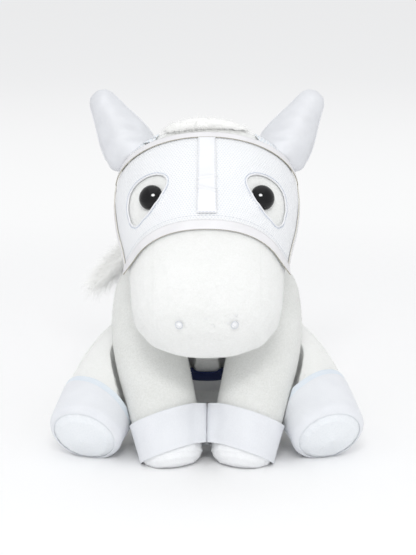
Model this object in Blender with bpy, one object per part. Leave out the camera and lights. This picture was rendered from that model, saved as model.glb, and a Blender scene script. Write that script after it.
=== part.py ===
"""A sitting plush horse in a fly mask and a girth, as separate sewn and stuffed pieces.

Lengths are in metres, +Z is up, and the horse faces -Y. The origin is the middle of the
flat place on which the rump sits. Each stuffed piece is a swelling form along a spine,
and each cloth piece follows the surface of the form that it lies on.
"""

import math

import bmesh
import bpy
from mathutils import Matrix, Vector

# Fits and fineness
touch_gap = 0.0003
cloth_lift = 0.0006
swing_clearance = 0.0010
cut_overrun = 0.004
leg_sides = 18
body_sides = 28
small_sides = 14
body_steps = 9
small_steps = 5
cap_steps = 4
dome_steps = 6
panel_grid = (8, 28)
band_grid = (2, 30)
strap_grid = (10, 3)
side_trim_grid = (10, 2)
eye_trim_grid = (9, 9)
ear_mesh_grid = (5, 10)
surface_turn = math.radians(3)
surface_step_share = 1 / 60

# Torso, from the rump to the chest
rump_back = 0.0430
rump_height = 0.0196
chest_forward = 0.0800
chest_height = 0.1120
torso_half_width = 0.060
torso_half_depth = 0.050
rump_roundness = 0.046
chest_roundness = 0.034

# Neck
neck_foot_forward = 0.0440
neck_foot_height = 0.106
neck_head_forward = 0.0450
neck_head_height = 0.168
neck_radius = 0.035

# Head, along its axis from the poll to the nose
skull_forward = 0.0560
skull_height = 0.1861
head_slope = math.radians(42)
skull_length = 0.0358
face_length = 0.1390
head_half_width = 0.0645
head_top = 0.0618
head_jaw = 0.0425
poll_roundness = 0.0406
nose_roundness = 0.0386
end_squareness = 2.5

# Front legs, from the shoulder to the hoof
shoulder_side = 0.0340
shoulder_forward = 0.0540
shoulder_height = 0.1035
front_foot_side = 0.0230
front_foot_forward = 0.1250
front_foot_height = -0.0045
front_leg_radius = 0.0270
front_leg_bow = 0.0070
front_leg_bow_up = 0.0040
front_leg_bow_side = 0.0095
front_leg_sway_side = 0.0030

# Hind legs, from the hip to the sole
hip_side = 0.050
hip_forward = 0.0020
hip_height = 0.046
hind_foot_side = 0.0885
hind_foot_forward = 0.1240
hind_foot_height = 0.0165
hind_leg_radius = 0.0275
hind_leg_bow = 0.0130
hind_leg_bow_side = 0.0020

# Cuffs and soles
front_cuff_height = 0.0250
hind_cuff_height = 0.0285
cuff_thickness = 0.0016
hem_height = 0.0042
hem_thickness = 0.0008
front_sole_depth = 0.0110
hind_sole_depth = 0.0105
foot_roundness = 0.0115

# Ears, from the hinge on the head to the tip
ear_root_along = 0.0240
ear_root_angle = math.radians(25)
ear_tip_side = 0.0785
ear_tip_forward = 0.0450
ear_tip_height = 0.2535
ear_half_width = 0.0185
ear_half_thickness = 0.0080
ear_cover_thickness = 0.0010
ear_tip_roundness = 0.006

# Eyes
eye_along_face = 0.0805
eye_angle = math.radians(53.8)
eye_radius = 0.0088
eye_dome_height = 0.0074
eye_post_radius = 0.0022
eye_post_length = 0.013
washer_radius = 0.0068
washer_thickness = 0.0018
washer_depth = 0.0075

# Mask and its bands, placed along the face from the poll
mask_thickness = 0.0010
band_thickness = 0.0012
brow_band_at = 0.0360
brow_band_width = 0.0044
nose_band_at = 0.1036
nose_band_width = 0.0070
nose_band_droop = 0.0160
mask_side_angle = math.radians(8)
trim_side_angle = math.radians(3)
centre_strap_half_angle = math.radians(6)
centre_strap_gap = 0.0050
eye_hole_long = 0.0195
eye_hole_short = 0.0122
eye_hole_pitch = math.radians(14)
eye_hole_tilt = math.radians(34)
eye_hole_side_shift = 0.0020
eye_hole_drop = 0.0006
eye_trim_width = 0.0016
ear_mesh_along = 0.0240
ear_mesh_low_angle = math.radians(32)
ear_mesh_high_angle = math.radians(53)

# Nostrils
nostril_along_face = 0.1695
nostril_angle = math.radians(60)
nostril_radius = 0.0019
nostril_height = 0.0011

# Hair
forelock_along = 0.0215
forelock_angle = math.radians(57)
forelock_half_width = 0.0115
forelock_thickness = 0.0050
mane_half_width = 0.0135
mane_thickness = 0.0085
upper_mane_along = 0.0040
lower_mane_top_forward = 0.0110
lower_mane_top_height = 0.1640
lower_mane_foot_back = 0.0050
lower_mane_foot_height = 0.1140
mane_lock_start_forward = 0.0040
mane_lock_start_height = 0.1420
mane_lock_side = 0.0860
mane_lock_forward = 0.0160
mane_lock_height = 0.1010
mane_lock_bow = 0.0120
tail_radius = 0.0130
tail_root_back = 0.0490
tail_root_height = 0.0640
tail_tip_back = 0.0700
tail_tip_height = 0.0150

# Girth round the barrel, placed along the torso from the rump
girth_at = 0.0820
girth_width = 0.0160
girth_binding_width = 0.0105
girth_thickness = 0.0014

# Swings that the sewn limbs make, in degrees
front_leg_swings = (-12, 0, 12)
hind_leg_swings = (-8, 0, 8)
nod_swings = (-3, 7, 18)
ear_swings = (-8, 0, 8)
tail_swings = (-25, 0, 25)

# Colours as red, green and blue, with a roughness
plush_white = (0.80, 0.80, 0.78, 0.95)
hair_white = (0.82, 0.81, 0.76, 0.90)
mesh_white = (0.76, 0.80, 0.85, 0.80)
band_white = (0.72, 0.71, 0.73, 0.45)
cuff_white = (0.76, 0.77, 0.82, 0.75)
hem_blue = (0.62, 0.70, 0.80, 0.75)
sole_white = (0.70, 0.76, 0.80, 0.95)
eye_black = (0.004, 0.004, 0.005, 0.06)
plastic_white = (0.70, 0.70, 0.68, 0.40)
navy = (0.008, 0.012, 0.035, 0.70)

X_AXIS = Vector((1, 0, 0))
Y_AXIS = Vector((0, 1, 0))
Z_AXIS = Vector((0, 0, 1))


def clear_scene():
    for old in list(bpy.data.objects):
        bpy.data.objects.remove(old)


def place(side, forward, height):
    """A point given by its distance to the horse's side, ahead of the seat and above the floor."""
    return Vector((side, -forward, height))


def material(name, look):
    """A Principled material of one colour and roughness, made once for each name."""
    found = bpy.data.materials.get(name)
    if found:
        return found
    made = bpy.data.materials.new(name)
    made.use_nodes = True
    shader = made.node_tree.nodes["Principled BSDF"]
    shader.inputs["Base Color"].default_value = (*look[:3], 1)
    shader.inputs["Roughness"].default_value = look[3]
    shader.inputs["Metallic"].default_value = 0
    return made


def add_object(name, mesh_data, finish=None):
    """Turns a bmesh into a named, smooth-shaded object."""
    bmesh.ops.recalc_face_normals(mesh_data, faces=mesh_data.faces)
    mesh = bpy.data.meshes.new(name)
    mesh_data.to_mesh(mesh)
    mesh_data.free()
    mesh.shade_smooth()
    mesh.set_sharp_from_angle(angle=math.radians(50))
    made = bpy.data.objects.new(name, mesh)
    bpy.context.scene.collection.objects.link(made)
    if finish:
        mesh.materials.append(material(*finish))
    return made


def smooth_value(table, share, column):
    """Reads one column of a table of shares, smoothly, at a share of the length."""
    count = len(table)
    place_in = 0
    while place_in < count - 2 and table[place_in + 1][0] <= share:
        place_in += 1
    low, high = table[place_in], table[place_in + 1]
    before = table[max(place_in - 1, 0)]
    after = table[min(place_in + 2, count - 1)]
    width = high[0] - low[0]
    local = min(max((share - low[0]) / width, 0), 1)
    slope_low = (high[column] - before[column]) / (high[0] - before[0]) * width
    slope_high = (after[column] - low[column]) / (after[0] - low[0]) * width
    square, cube = local**2, local**3
    return (
        (2 * cube - 3 * square + 1) * low[column]
        + (cube - 2 * square + local) * slope_low
        + (3 * square - 2 * cube) * high[column]
        + (cube - square) * slope_high
    )


def rounded(value, power):
    """A cosine or sine bent towards a rounded square, with its sign kept."""
    return math.copysign(abs(value) ** (2 / power), value)


class SoftForm:
    """A stuffed form: rings of changing size along a spine, rounded off at both ends."""

    def __init__(self, start, end, sizes, shares, start_round, end_round, **extras):
        self.start, self.end = start, end
        self.half_width, self.top, self.bottom = sizes
        self.shares = shares
        self.start_round, self.end_round = start_round, end_round
        self.bow = extras.get("bow", Vector())
        self.sway = extras.get("sway", Vector())
        self.end_power = extras.get("end_power", 2)
        self.sides = extras.get("sides", body_sides)
        self.steps = extras.get("steps", body_steps)
        self.hint = extras.get("hint", X_AXIS)
        self.length = (end - start).length

    def spine(self, along):
        share = along / self.length
        inside = min(max(share, 0), 1)
        bend = self.bow * math.sin(math.pi * inside) + self.sway * math.sin(math.tau * inside)
        return self.start.lerp(self.end, share) + bend

    def frame(self, along):
        """Side and upward directions of the ring at this place."""
        step = self.length / 100
        ahead = (self.spine(along + step) - self.spine(along - step)).normalized()
        side = (self.hint - ahead * self.hint.dot(ahead)).normalized()
        return side, ahead.cross(side), ahead

    def ending(self, along, lift):
        """How far the rounded ends draw the ring in, from 0 at a tip to 1 along the middle."""
        from_start = max(1 - (along + lift) / (self.start_round + lift), 0)
        from_end = max(1 - (self.length - along + lift) / (self.end_round + lift), 0)
        start_share = max(1 - from_start**2, 0) ** (1 / 2)
        return start_share * max(1 - from_end**self.end_power, 0) ** (1 / self.end_power)

    def point(self, along, angle, lift=0):
        """A point of the surface, lifted off it by a distance."""
        share = min(max(along / self.length, 0), 1)
        drawn = self.ending(along, lift)
        across, upward = math.cos(angle), math.sin(angle)
        width = (self.half_width * smooth_value(self.shares, share, 1) + lift) * drawn
        if upward >= 0:
            height = (self.top * smooth_value(self.shares, share, 2) + lift) * drawn
        else:
            height = (self.bottom * smooth_value(self.shares, share, 3) + lift) * drawn
        side, up, _ = self.frame(along)
        squareness = smooth_value(self.shares, share, 4)
        offset = side * width * rounded(across, squareness)
        return self.spine(along) + offset + up * height * rounded(upward, squareness)

    def lay_ring(self, ring, along, lift):
        """Moves the vertices of a ring to their places round the form."""
        for count, vert in enumerate(ring):
            vert.co = self.point(along, math.tau * count / self.sides, lift)

    def stops(self, first, last, lift):
        """Places of the rings: close together in the rounded ends, even between them."""
        places = []
        start_round, end_round = self.start_round + lift, self.end_round + lift
        for step in range(1, cap_steps):
            turn = math.radians(90) * step / cap_steps
            places.append(-lift + start_round * (1 - math.cos(turn)))
            places.append(self.length + lift - end_round * (1 - math.cos(turn)))
        plain = self.length - self.start_round - self.end_round
        for step in range(self.steps + 1):
            places.append(self.start_round + plain * step / self.steps)
        shortest = self.length / 100
        kept = [first, last] if first > -lift else [last]
        for value in sorted(places):
            if first + shortest < value < last - shortest:
                kept.append(value)
        return sorted(kept)

    def solid(self, name, finish=None, lift=0, first=None, last=None):
        """The closed form, or the slice of it between two places."""
        low, high = -lift, self.length + lift
        begin = low if first is None else first
        finish_at = high if last is None else last
        places = [p for p in self.stops(begin, finish_at, lift) if low < p < high]
        mesh = bmesh.new()
        ring = bmesh.ops.create_circle(mesh, segments=self.sides, radius=1)["verts"]
        for index, along in enumerate(places):
            if index:
                ring = next_ring(mesh, ring)
            self.lay_ring(ring, along, lift)
        for rim in rims(mesh):
            cap = bmesh.ops.contextual_create(mesh, geom=rim)["faces"]
            centre = bmesh.ops.poke(mesh, faces=cap)["verts"][0]
            if first is None and (centre.co - self.spine(low)).length < self.start_round + lift:
                centre.co = self.spine(low)
            if last is None and (centre.co - self.spine(high)).length < self.end_round + lift:
                centre.co = self.spine(high)
        return add_object(name, mesh, finish)

    def patch(self, name, finish, along_range, angle_range, lift, thickness, steps, droops=(0, 0)):
        """A cloth piece on the surface between two places, whose edges may droop at the sides."""
        along_steps, angle_steps = steps
        mesh = bmesh.new()
        bmesh.ops.create_grid(mesh, x_segments=along_steps, y_segments=angle_steps, size=1)
        for vert in mesh.verts:
            across, around = (vert.co.x + 1) / 2, (vert.co.y + 1) / 2
            angle = angle_range[0] + (angle_range[1] - angle_range[0]) * around
            low, high = (at + droop * (1 - math.sin(angle)) for at, droop in zip(along_range, droops))
            vert.co = self.point(low + (high - low) * across, angle, lift)
        made = thicken(mesh, self, thickness)
        return add_object(name, made, finish)

    def sleeve(self, name, finish, along_range, lift, thickness, bends=()):
        """A tube of cloth all round the form between two places, with extra rings where it bends."""
        low, high = along_range
        places = sorted(self.stops(low, high, 0) + list(bends))
        outside = [(along, lift + thickness) for along in places]
        inside = [(along, lift) for along in reversed(places)]
        mesh = bmesh.new()
        ring = bmesh.ops.create_circle(mesh, segments=self.sides, radius=1)["verts"]
        self.lay_ring(ring, *outside[0])
        for along, level in outside[1:] + inside + outside[:1]:
            ring = next_ring(mesh, ring)
            self.lay_ring(ring, along, level)
        bmesh.ops.remove_doubles(mesh, verts=mesh.verts, dist=thickness / 100)
        return add_object(name, mesh, finish)


def next_ring(mesh, ring):
    """Draws a new ring out of the last one and returns its vertices in the same order."""
    edges = [mesh.edges.get(pair) for pair in zip(ring, ring[1:] + ring[:1])]
    grown = bmesh.ops.extrude_edge_only(mesh, edges=edges)["geom"]
    new = {part for part in grown if isinstance(part, bmesh.types.BMVert)}
    return [next(e.other_vert(vert) for e in vert.link_edges if e.other_vert(vert) in new) for vert in ring]


def rims(mesh):
    """The open edge loops of a mesh."""
    left = {edge for edge in mesh.edges if edge.is_boundary}
    found = []
    while left:
        seed = left.pop()
        loop, front = [seed], [seed]
        while front:
            edge = front.pop()
            for vert in edge.verts:
                for other in vert.link_edges:
                    if other in left:
                        left.remove(other)
                        loop.append(other)
                        front.append(other)
        found.append(loop)
    return found


def thicken(mesh, form, thickness):
    """Gives a cloth patch its thickness, outwards from the form that it lies on."""
    middle = sum((vert.co for vert in mesh.verts), Vector()) / len(mesh.verts)
    inside = form.spine(form.length / 2)
    bmesh.ops.recalc_face_normals(mesh, faces=mesh.faces)
    total = sum((face.normal * face.calc_area() for face in mesh.faces), Vector())
    if total.dot(middle - inside) < 0:
        bmesh.ops.reverse_faces(mesh, faces=mesh.faces)
    bmesh.ops.solidify(mesh, geom=mesh.faces[:], thickness=-thickness)
    return mesh


def boolean(target, cutter, operation="DIFFERENCE"):
    """Cuts the target with the cutter, keeps the result and removes the cutter."""
    cut = target.modifiers.new("cut", "BOOLEAN")
    cut.operation = operation
    cut.object = cutter
    cut.solver = "EXACT"
    with bpy.context.temp_override(object=target, active_object=target):
        bpy.ops.object.modifier_apply(modifier=cut.name)
    bpy.data.objects.remove(cutter)
    return target


def turned(target, pivot, axis, degrees):
    """Turns an object's mesh about an axis through a pivot."""
    turn = Matrix.Rotation(math.radians(degrees), 4, axis)
    target.data.transform(Matrix.Translation(pivot) @ turn @ Matrix.Translation(-pivot))
    return target


def swept_room(form, pivot, axis, swings, lift):
    """The room that a form needs as it swings about its joint, as one convex solid."""
    room = bmesh.new()
    for degrees in swings:
        passing = turned(form.solid("cutter", lift=lift), pivot, axis, degrees)
        room.from_mesh(passing.data)
        bpy.data.objects.remove(passing)
    bmesh.ops.remove_doubles(room, verts=room.verts, dist=form.half_width / form.sides)
    bmesh.ops.delete(room, geom=room.edges[:] + room.faces[:], context="EDGES_FACES")
    hull = bmesh.ops.convex_hull(room, input=room.verts[:])
    leftover = hull["geom_interior"] + hull["geom_unused"]
    unused = {part for part in leftover if isinstance(part, bmesh.types.BMVert)}
    bmesh.ops.delete(room, geom=list(unused), context="VERTS")
    bmesh.ops.dissolve_degenerate(room, dist=lift / 10, edges=room.edges[:])
    parts = {"verts": room.verts[:], "edges": room.edges[:]}
    bmesh.ops.dissolve_limit(room, angle_limit=math.radians(1), use_dissolve_boundaries=False, **parts)
    return add_object("cutter", room)


def carve(target, form, pivot, axis, swings, lift):
    """Cuts the room that a swinging form needs out of the piece that it swings in."""
    return boolean(target, swept_room(form, pivot, axis, swings, lift))


def stand_flat(target):
    """Cuts a piece flat where it rests on the floor."""
    ground = bmesh.new()
    bmesh.ops.create_cube(ground, size=1)
    reach = Vector((head_half_width, face_length, torso_half_depth)) * 4
    bmesh.ops.scale(ground, vec=reach, verts=ground.verts)
    bmesh.ops.translate(ground, vec=-Z_AXIS * reach.z / 2, verts=ground.verts)
    return boolean(target, add_object("cutter", ground))


def sides():
    """The two sides of the horse: the one at -X, its right, and the one at +X, its left."""
    return (("right", -1), ("left", 1))


def torso_form():
    start = place(0, -rump_back, rump_height)
    end = place(0, chest_forward, chest_height)
    shape_shares = (
        (0.00, 0.96, 0.92, 0.98, 2.1),
        (0.30, 1.00, 1.00, 1.00, 2.1),
        (0.60, 0.94, 0.96, 0.90, 2.1),
        (0.85, 0.80, 0.74, 0.70, 2.1),
        (1.00, 0.70, 0.60, 0.60, 2.1),
    )
    sizes = (torso_half_width, torso_half_depth, torso_half_depth)
    return SoftForm(start, end, sizes, shape_shares, rump_roundness, chest_roundness)


def neck_form():
    start = place(0, neck_foot_forward, neck_foot_height)
    joint = place(0, neck_head_forward, neck_head_height)
    end = joint + (joint - start).normalized() * neck_radius
    shape_shares = ((0.0, 1.0, 1.0, 1.0, 2), (1.0, 1.0, 1.0, 1.0, 2))
    sizes = (neck_radius, neck_radius, neck_radius)
    return SoftForm(start, end, sizes, shape_shares, neck_radius / 2, neck_radius)


def head_form():
    axis = Vector((0, -math.cos(head_slope), -math.sin(head_slope)))
    skull = place(0, skull_forward, skull_height)
    shape_shares = (
        (0.00, 0.96, 0.96, 0.90, 2.0),
        (0.21, 0.985, 1.00, 1.00, 2.05),
        (0.32, 1.00, 1.00, 1.00, 2.1),
        (0.45, 0.96, 0.95, 0.90, 2.15),
        (0.57, 0.885, 0.87, 0.72, 2.3),
        (0.70, 0.83, 0.81, 0.63, 2.4),
        (0.85, 0.80, 0.78, 0.62, 2.5),
        (1.00, 0.77, 0.74, 0.60, 2.5),
    )
    sizes = (head_half_width, head_top, head_jaw)
    start, end = skull - axis * skull_length, skull + axis * face_length
    rounds = (poll_roundness, nose_roundness)
    return SoftForm(start, end, sizes, shape_shares, *rounds, end_power=end_squareness)


def front_leg_form(side):
    start_joint = place(side * shoulder_side, shoulder_forward, shoulder_height)
    foot = place(side * front_foot_side, front_foot_forward, front_foot_height)
    start = start_joint - (foot - start_joint).normalized() * front_leg_radius
    bow = place(side * front_leg_bow_side, front_leg_bow, front_leg_bow_up)
    sway = place(side * front_leg_sway_side, 0, 0)
    shape_shares = (
        (0.00, 0.98, 0.98, 0.98, 2),
        (0.40, 1.00, 1.00, 1.00, 2),
        (0.60, 0.97, 0.98, 0.98, 2),
        (0.78, 0.91, 0.94, 0.94, 2),
        (1.00, 0.77, 0.84, 0.84, 2),
    )
    radius = front_leg_radius
    sizes = (radius, radius, radius)
    bends = {"bow": bow, "sway": sway}
    return SoftForm(start, foot, sizes, shape_shares, radius, foot_roundness, sides=leg_sides, **bends)


def hind_leg_form(side):
    start_joint = place(side * hip_side, hip_forward, hip_height)
    foot = place(side * hind_foot_side, hind_foot_forward, hind_foot_height)
    start = start_joint - (foot - start_joint).normalized() * hind_leg_radius
    bow = place(side * hind_leg_bow_side, hind_leg_bow / 4, hind_leg_bow)
    shape_shares = (
        (0.00, 1.00, 1.00, 1.00, 2),
        (0.40, 0.98, 0.98, 0.98, 2),
        (0.75, 0.95, 0.95, 0.95, 2),
        (1.00, 0.93, 0.93, 0.93, 2),
    )
    radius = hind_leg_radius
    sizes = (radius, radius, radius)
    return SoftForm(start, foot, sizes, shape_shares, radius, foot_roundness, sides=leg_sides, bow=bow)


def ear_root(side):
    """The middle of an ear's base on the head."""
    angle = ear_root_angle if side > 0 else math.pi - ear_root_angle
    return head_form().point(ear_root_along, angle)


def ear_form(side):
    root = ear_root(side)
    tip = place(side * ear_tip_side, ear_tip_forward, ear_tip_height)
    start = root - (tip - root).normalized() * ear_half_thickness
    shape_shares = (
        (0.00, 1.00, 1.00, 1.00, 2),
        (0.35, 0.92, 1.00, 1.00, 2),
        (0.70, 0.60, 0.72, 0.72, 2),
        (1.00, 0.36, 0.45, 0.45, 2),
    )
    thickness = ear_half_thickness
    sizes = (ear_half_width, thickness, thickness)
    fineness = {"sides": small_sides, "steps": small_steps}
    return SoftForm(start, tip, sizes, shape_shares, thickness, ear_tip_roundness, **fineness)


def leg_pieces(kind, side_name, form, cuff_height, sole_depth, hem):
    """A leg, its cuff and its sole, and the hem above a hind cuff."""
    seam = form.length - sole_depth
    leg = form.solid(f"{kind}_leg_{side_name}", ("plush_white", plush_white), last=seam - touch_gap)
    sole = form.solid(f"{kind}_sole_{side_name}", ("sole_white", sole_white), first=seam)
    cuff_top = seam - cuff_height
    cuff_range = (cuff_top, seam + sole_depth / 3)
    name = f"{kind}_cuff_{side_name}"
    cuff = form.sleeve(name, ("cuff_white", cuff_white), cuff_range, touch_gap, cuff_thickness, [seam])
    pieces = [leg, sole, cuff]
    if hem:
        hem_range = (cuff_top - hem_height, cuff_top - touch_gap)
        name = f"{kind}_hem_{side_name}"
        pieces.append(form.sleeve(name, ("hem_blue", hem_blue), hem_range, touch_gap, hem_thickness))
    for piece in pieces:
        stand_flat(piece)
    return pieces


def eye_frame(head, side):
    """The middle of an eye on the face, its outward direction and a turn that brings +Z there."""
    angle = eye_angle if side > 0 else math.pi - eye_angle
    seat = head.point(eye_along_face, angle)
    turn, step = surface_turn, head.length * surface_step_share
    across = head.point(eye_along_face, angle + turn) - head.point(eye_along_face, angle - turn)
    forward = head.point(eye_along_face + step, angle) - head.point(eye_along_face - step, angle)
    outward = across.cross(forward).normalized()
    if outward.dot(seat - head.spine(eye_along_face)) < 0:
        outward.negate()
    return seat, outward, Z_AXIS.rotation_difference(outward).to_matrix().to_4x4()


def turned_profile(name, profile, turn, seat, finish=None, segments=leg_sides):
    """A turned piece: a profile of (radius, height) spun round the eye's outward direction."""
    mesh = bmesh.new()
    verts = [mesh.verts.new((radius, 0, height)) for radius, height in profile]
    edges = [mesh.edges.new(pair) for pair in zip(verts, verts[1:])]
    if profile[0][0] and profile[-1][0]:
        edges.append(mesh.edges.new((verts[-1], verts[0])))
    bmesh.ops.spin(
        mesh, geom=verts + edges, cent=Vector(), axis=Z_AXIS, angle=math.tau, steps=segments, use_merge=True
    )
    bmesh.ops.remove_doubles(mesh, verts=mesh.verts, dist=eye_post_radius / 1000)
    bmesh.ops.transform(mesh, matrix=Matrix.Translation(seat) @ turn, verts=mesh.verts)
    return add_object(name, mesh, finish)


def dome_profile(radius, height, sink):
    """A dome of the given radius and height whose flat back lies a little into the face."""
    turns = [math.radians(90) * step / dome_steps for step in range(dome_steps + 1)]
    points = [(radius * math.sin(turn), height * math.cos(turn)) for turn in turns[:-1]]
    points.append((radius, 0))
    return points, (radius, -sink)


def eye_pieces(head, side_name, side):
    """The eye's dome and post in one, and its lock washer."""
    seat, _, turn = eye_frame(head, side)
    dome, rim = dome_profile(eye_radius, eye_dome_height, touch_gap)
    post_back = -washer_depth - eye_post_length / 2
    profile = dome + [rim, (eye_post_radius, rim[1]), (eye_post_radius, post_back), (0, post_back)]
    eye = turned_profile(f"eye_{side_name}", profile, turn, seat, ("eye_black", eye_black))
    bore = eye_post_radius + touch_gap / 3
    washer_back = -washer_depth - washer_thickness
    ring = [(bore, -washer_depth), (washer_radius, -washer_depth)]
    ring += [(washer_radius, washer_back), (bore, washer_back)]
    washer = turned_profile(f"eye_washer_{side_name}", ring, turn, seat, ("plastic_white", plastic_white))
    return eye, washer


def eye_room(head, side):
    """The room in the head for an eye's dome, post and washer."""
    seat, _, turn = eye_frame(head, side)
    wide, post = eye_radius + touch_gap, eye_post_radius + touch_gap
    disc = washer_radius + touch_gap
    top = -washer_depth + touch_gap
    base = -washer_depth - washer_thickness - touch_gap
    back = -washer_depth - eye_post_length / 2 - touch_gap
    shelf = -touch_gap * 2
    profile = [(0, cut_overrun), (wide, cut_overrun), (wide, shelf), (post, shelf), (post, top)]
    profile += [(disc, top), (disc, base), (post, base), (post, back), (0, back)]
    return turned_profile("cutter", profile, turn, seat)


def eye_hole(head, side, grow, depth):
    """A cutter for an eye hole: an oval prism along the outward direction of the eye."""
    seat, outward, _ = eye_frame(head, side)
    view = Vector((0, -math.cos(eye_hole_pitch), math.sin(eye_hole_pitch)))
    across = X_AXIS
    upward = view.cross(across) * -1
    if upward.z < 0:
        upward.negate()
    long_way = (upward * math.cos(eye_hole_tilt) - across * side * math.sin(eye_hole_tilt)).normalized()
    short_way = view.cross(long_way).normalized()
    middle = seat + across * side * eye_hole_side_shift - upward * eye_hole_drop
    mesh = bmesh.new()
    ring = bmesh.ops.create_circle(mesh, segments=small_sides * 2, radius=1, cap_ends=True)["verts"]
    long_reach, short_reach = long_way * (eye_hole_long + grow), short_way * (eye_hole_short + grow)
    for vert in ring:
        reach = long_reach * vert.co.y + short_reach * vert.co.x
        vert.co = middle + reach - view * depth
    grown = bmesh.ops.extrude_face_region(mesh, geom=mesh.faces[:])["geom"]
    moved = [part for part in grown if isinstance(part, bmesh.types.BMVert)]
    bmesh.ops.translate(mesh, vec=view * depth * 2, verts=moved)
    return add_object("cutter", mesh)


def mask_pieces(head):
    """The mask: its panel with two eye holes, the bands at its edges and the strap down its middle."""
    lift = cloth_lift
    knit, bands = ("mesh_white", mesh_white), ("band_white", band_white)
    face_sides = (mask_side_angle, math.pi - mask_side_angle)
    panel_range = (brow_band_at + brow_band_width + touch_gap, nose_band_at - touch_gap)
    panel_droops = (0, nose_band_droop)
    panel = head.patch(
        "mask_panel", knit, panel_range, face_sides, lift, mask_thickness, panel_grid, panel_droops
    )
    brow_range = (brow_band_at, brow_band_at + brow_band_width)
    brow_band = head.patch("brow_band", bands, brow_range, face_sides, lift, band_thickness, band_grid)
    nose_range = (nose_band_at, nose_band_at + nose_band_width)
    nose_sides = (trim_side_angle, math.pi - trim_side_angle)
    nose_droops = (nose_band_droop, nose_band_droop)
    head.patch("nose_band", bands, nose_range, nose_sides, lift, band_thickness, band_grid, nose_droops)
    over_panel = lift + mask_thickness + touch_gap
    strap_range = (panel_range[0], nose_band_at - centre_strap_gap)
    middle = math.radians(90)
    strap_sides = (middle - centre_strap_half_angle, middle + centre_strap_half_angle)
    head.patch("centre_strap", bands, strap_range, strap_sides, over_panel, band_thickness, strap_grid)
    seam = touch_gap / head_half_width
    hole_depth = eye_radius * 3
    rim_depth = eye_radius * 4
    for side_name, side in sides():
        trim_sides = (trim_side_angle, mask_side_angle - seam)
        if side < 0:
            trim_sides = (math.pi - trim_sides[1], math.pi - trim_sides[0])
        name = f"side_trim_{side_name}"
        head.patch(name, bands, panel_range, trim_sides, lift, mask_thickness, side_trim_grid, panel_droops)
        boolean(panel, eye_hole(head, side, 0, hole_depth))
        eye_at = eye_angle if side > 0 else math.pi - eye_angle
        reach = eye_hole_long + eye_trim_width * 3
        turn = reach / head_half_width
        rim_range = (eye_along_face - reach, eye_along_face + reach)
        rim_sides = (eye_at - turn, eye_at + turn)
        name = f"eye_trim_{side_name}"
        trim = head.patch(name, bands, rim_range, rim_sides, over_panel, mask_thickness, eye_trim_grid)
        boolean(trim, eye_hole(head, side, eye_trim_width, hole_depth), "INTERSECT")
        boolean(trim, eye_hole(head, side, 0, rim_depth))
    return brow_band


def ear_pieces(head, brow_band, side_name, side):
    """A padded ear and its cover, whose bases clear the head as the ear bends."""
    form, root = ear_form(side), ear_root(side)
    ear = form.solid(f"ear_{side_name}", ("plush_white", plush_white))
    cover_lift = touch_gap + ear_cover_thickness
    cover = form.solid(f"ear_cover_{side_name}", ("band_white", band_white), lift=cover_lift)
    boolean(cover, form.solid("cutter", lift=touch_gap))
    bend_axis = form.frame(form.length / 2)[0]
    for piece in (ear, cover):
        carve(piece, head, root, bend_axis, ear_swings, cloth_lift)
    mesh_range = (ear_mesh_along, brow_band_at - touch_gap)
    mesh_sides = (ear_mesh_low_angle, ear_mesh_high_angle)
    if side < 0:
        mesh_sides = (math.pi - mesh_sides[1], math.pi - mesh_sides[0])
    knit, name = ("mesh_white", mesh_white), f"ear_mesh_{side_name}"
    mesh_patch = head.patch(name, knit, mesh_range, mesh_sides, cloth_lift, mask_thickness, ear_mesh_grid)
    for worn in (mesh_patch, brow_band):
        carve(worn, form, root, bend_axis, ear_swings, cover_lift + swing_clearance)


def nostril(head, side_name, side):
    """A stitched nostril: a small dome on the muzzle."""
    angle = nostril_angle if side > 0 else math.pi - nostril_angle
    seat = head.point(nostril_along_face, angle, touch_gap)
    outward = (seat - head.spine(nostril_along_face - nose_roundness)).normalized()
    turn = Z_AXIS.rotation_difference(outward).to_matrix().to_4x4()
    dome, _ = dome_profile(nostril_radius, nostril_height, touch_gap)
    thread = ("band_white", band_white)
    return turned_profile(f"nostril_{side_name}", dome + [(0, 0)], turn, seat, thread, small_sides)


def hair_lock(name, start, end, bow, half_width, thickness, hint):
    """A lock of hair: a flat swelling form that tapers to both ends."""
    shape_shares = ((0.0, 0.80, 0.90, 0.90, 2), (0.4, 1.00, 1.00, 1.00, 2), (1.0, 0.55, 0.70, 0.70, 2))
    sizes, taper = (half_width, thickness, thickness), thickness * 2
    fineness = {"sides": small_sides, "steps": small_steps}
    form = SoftForm(start, end, sizes, shape_shares, taper, taper, bow=bow, hint=hint, **fineness)
    return form, form.solid(name, ("hair_white", hair_white))


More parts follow.
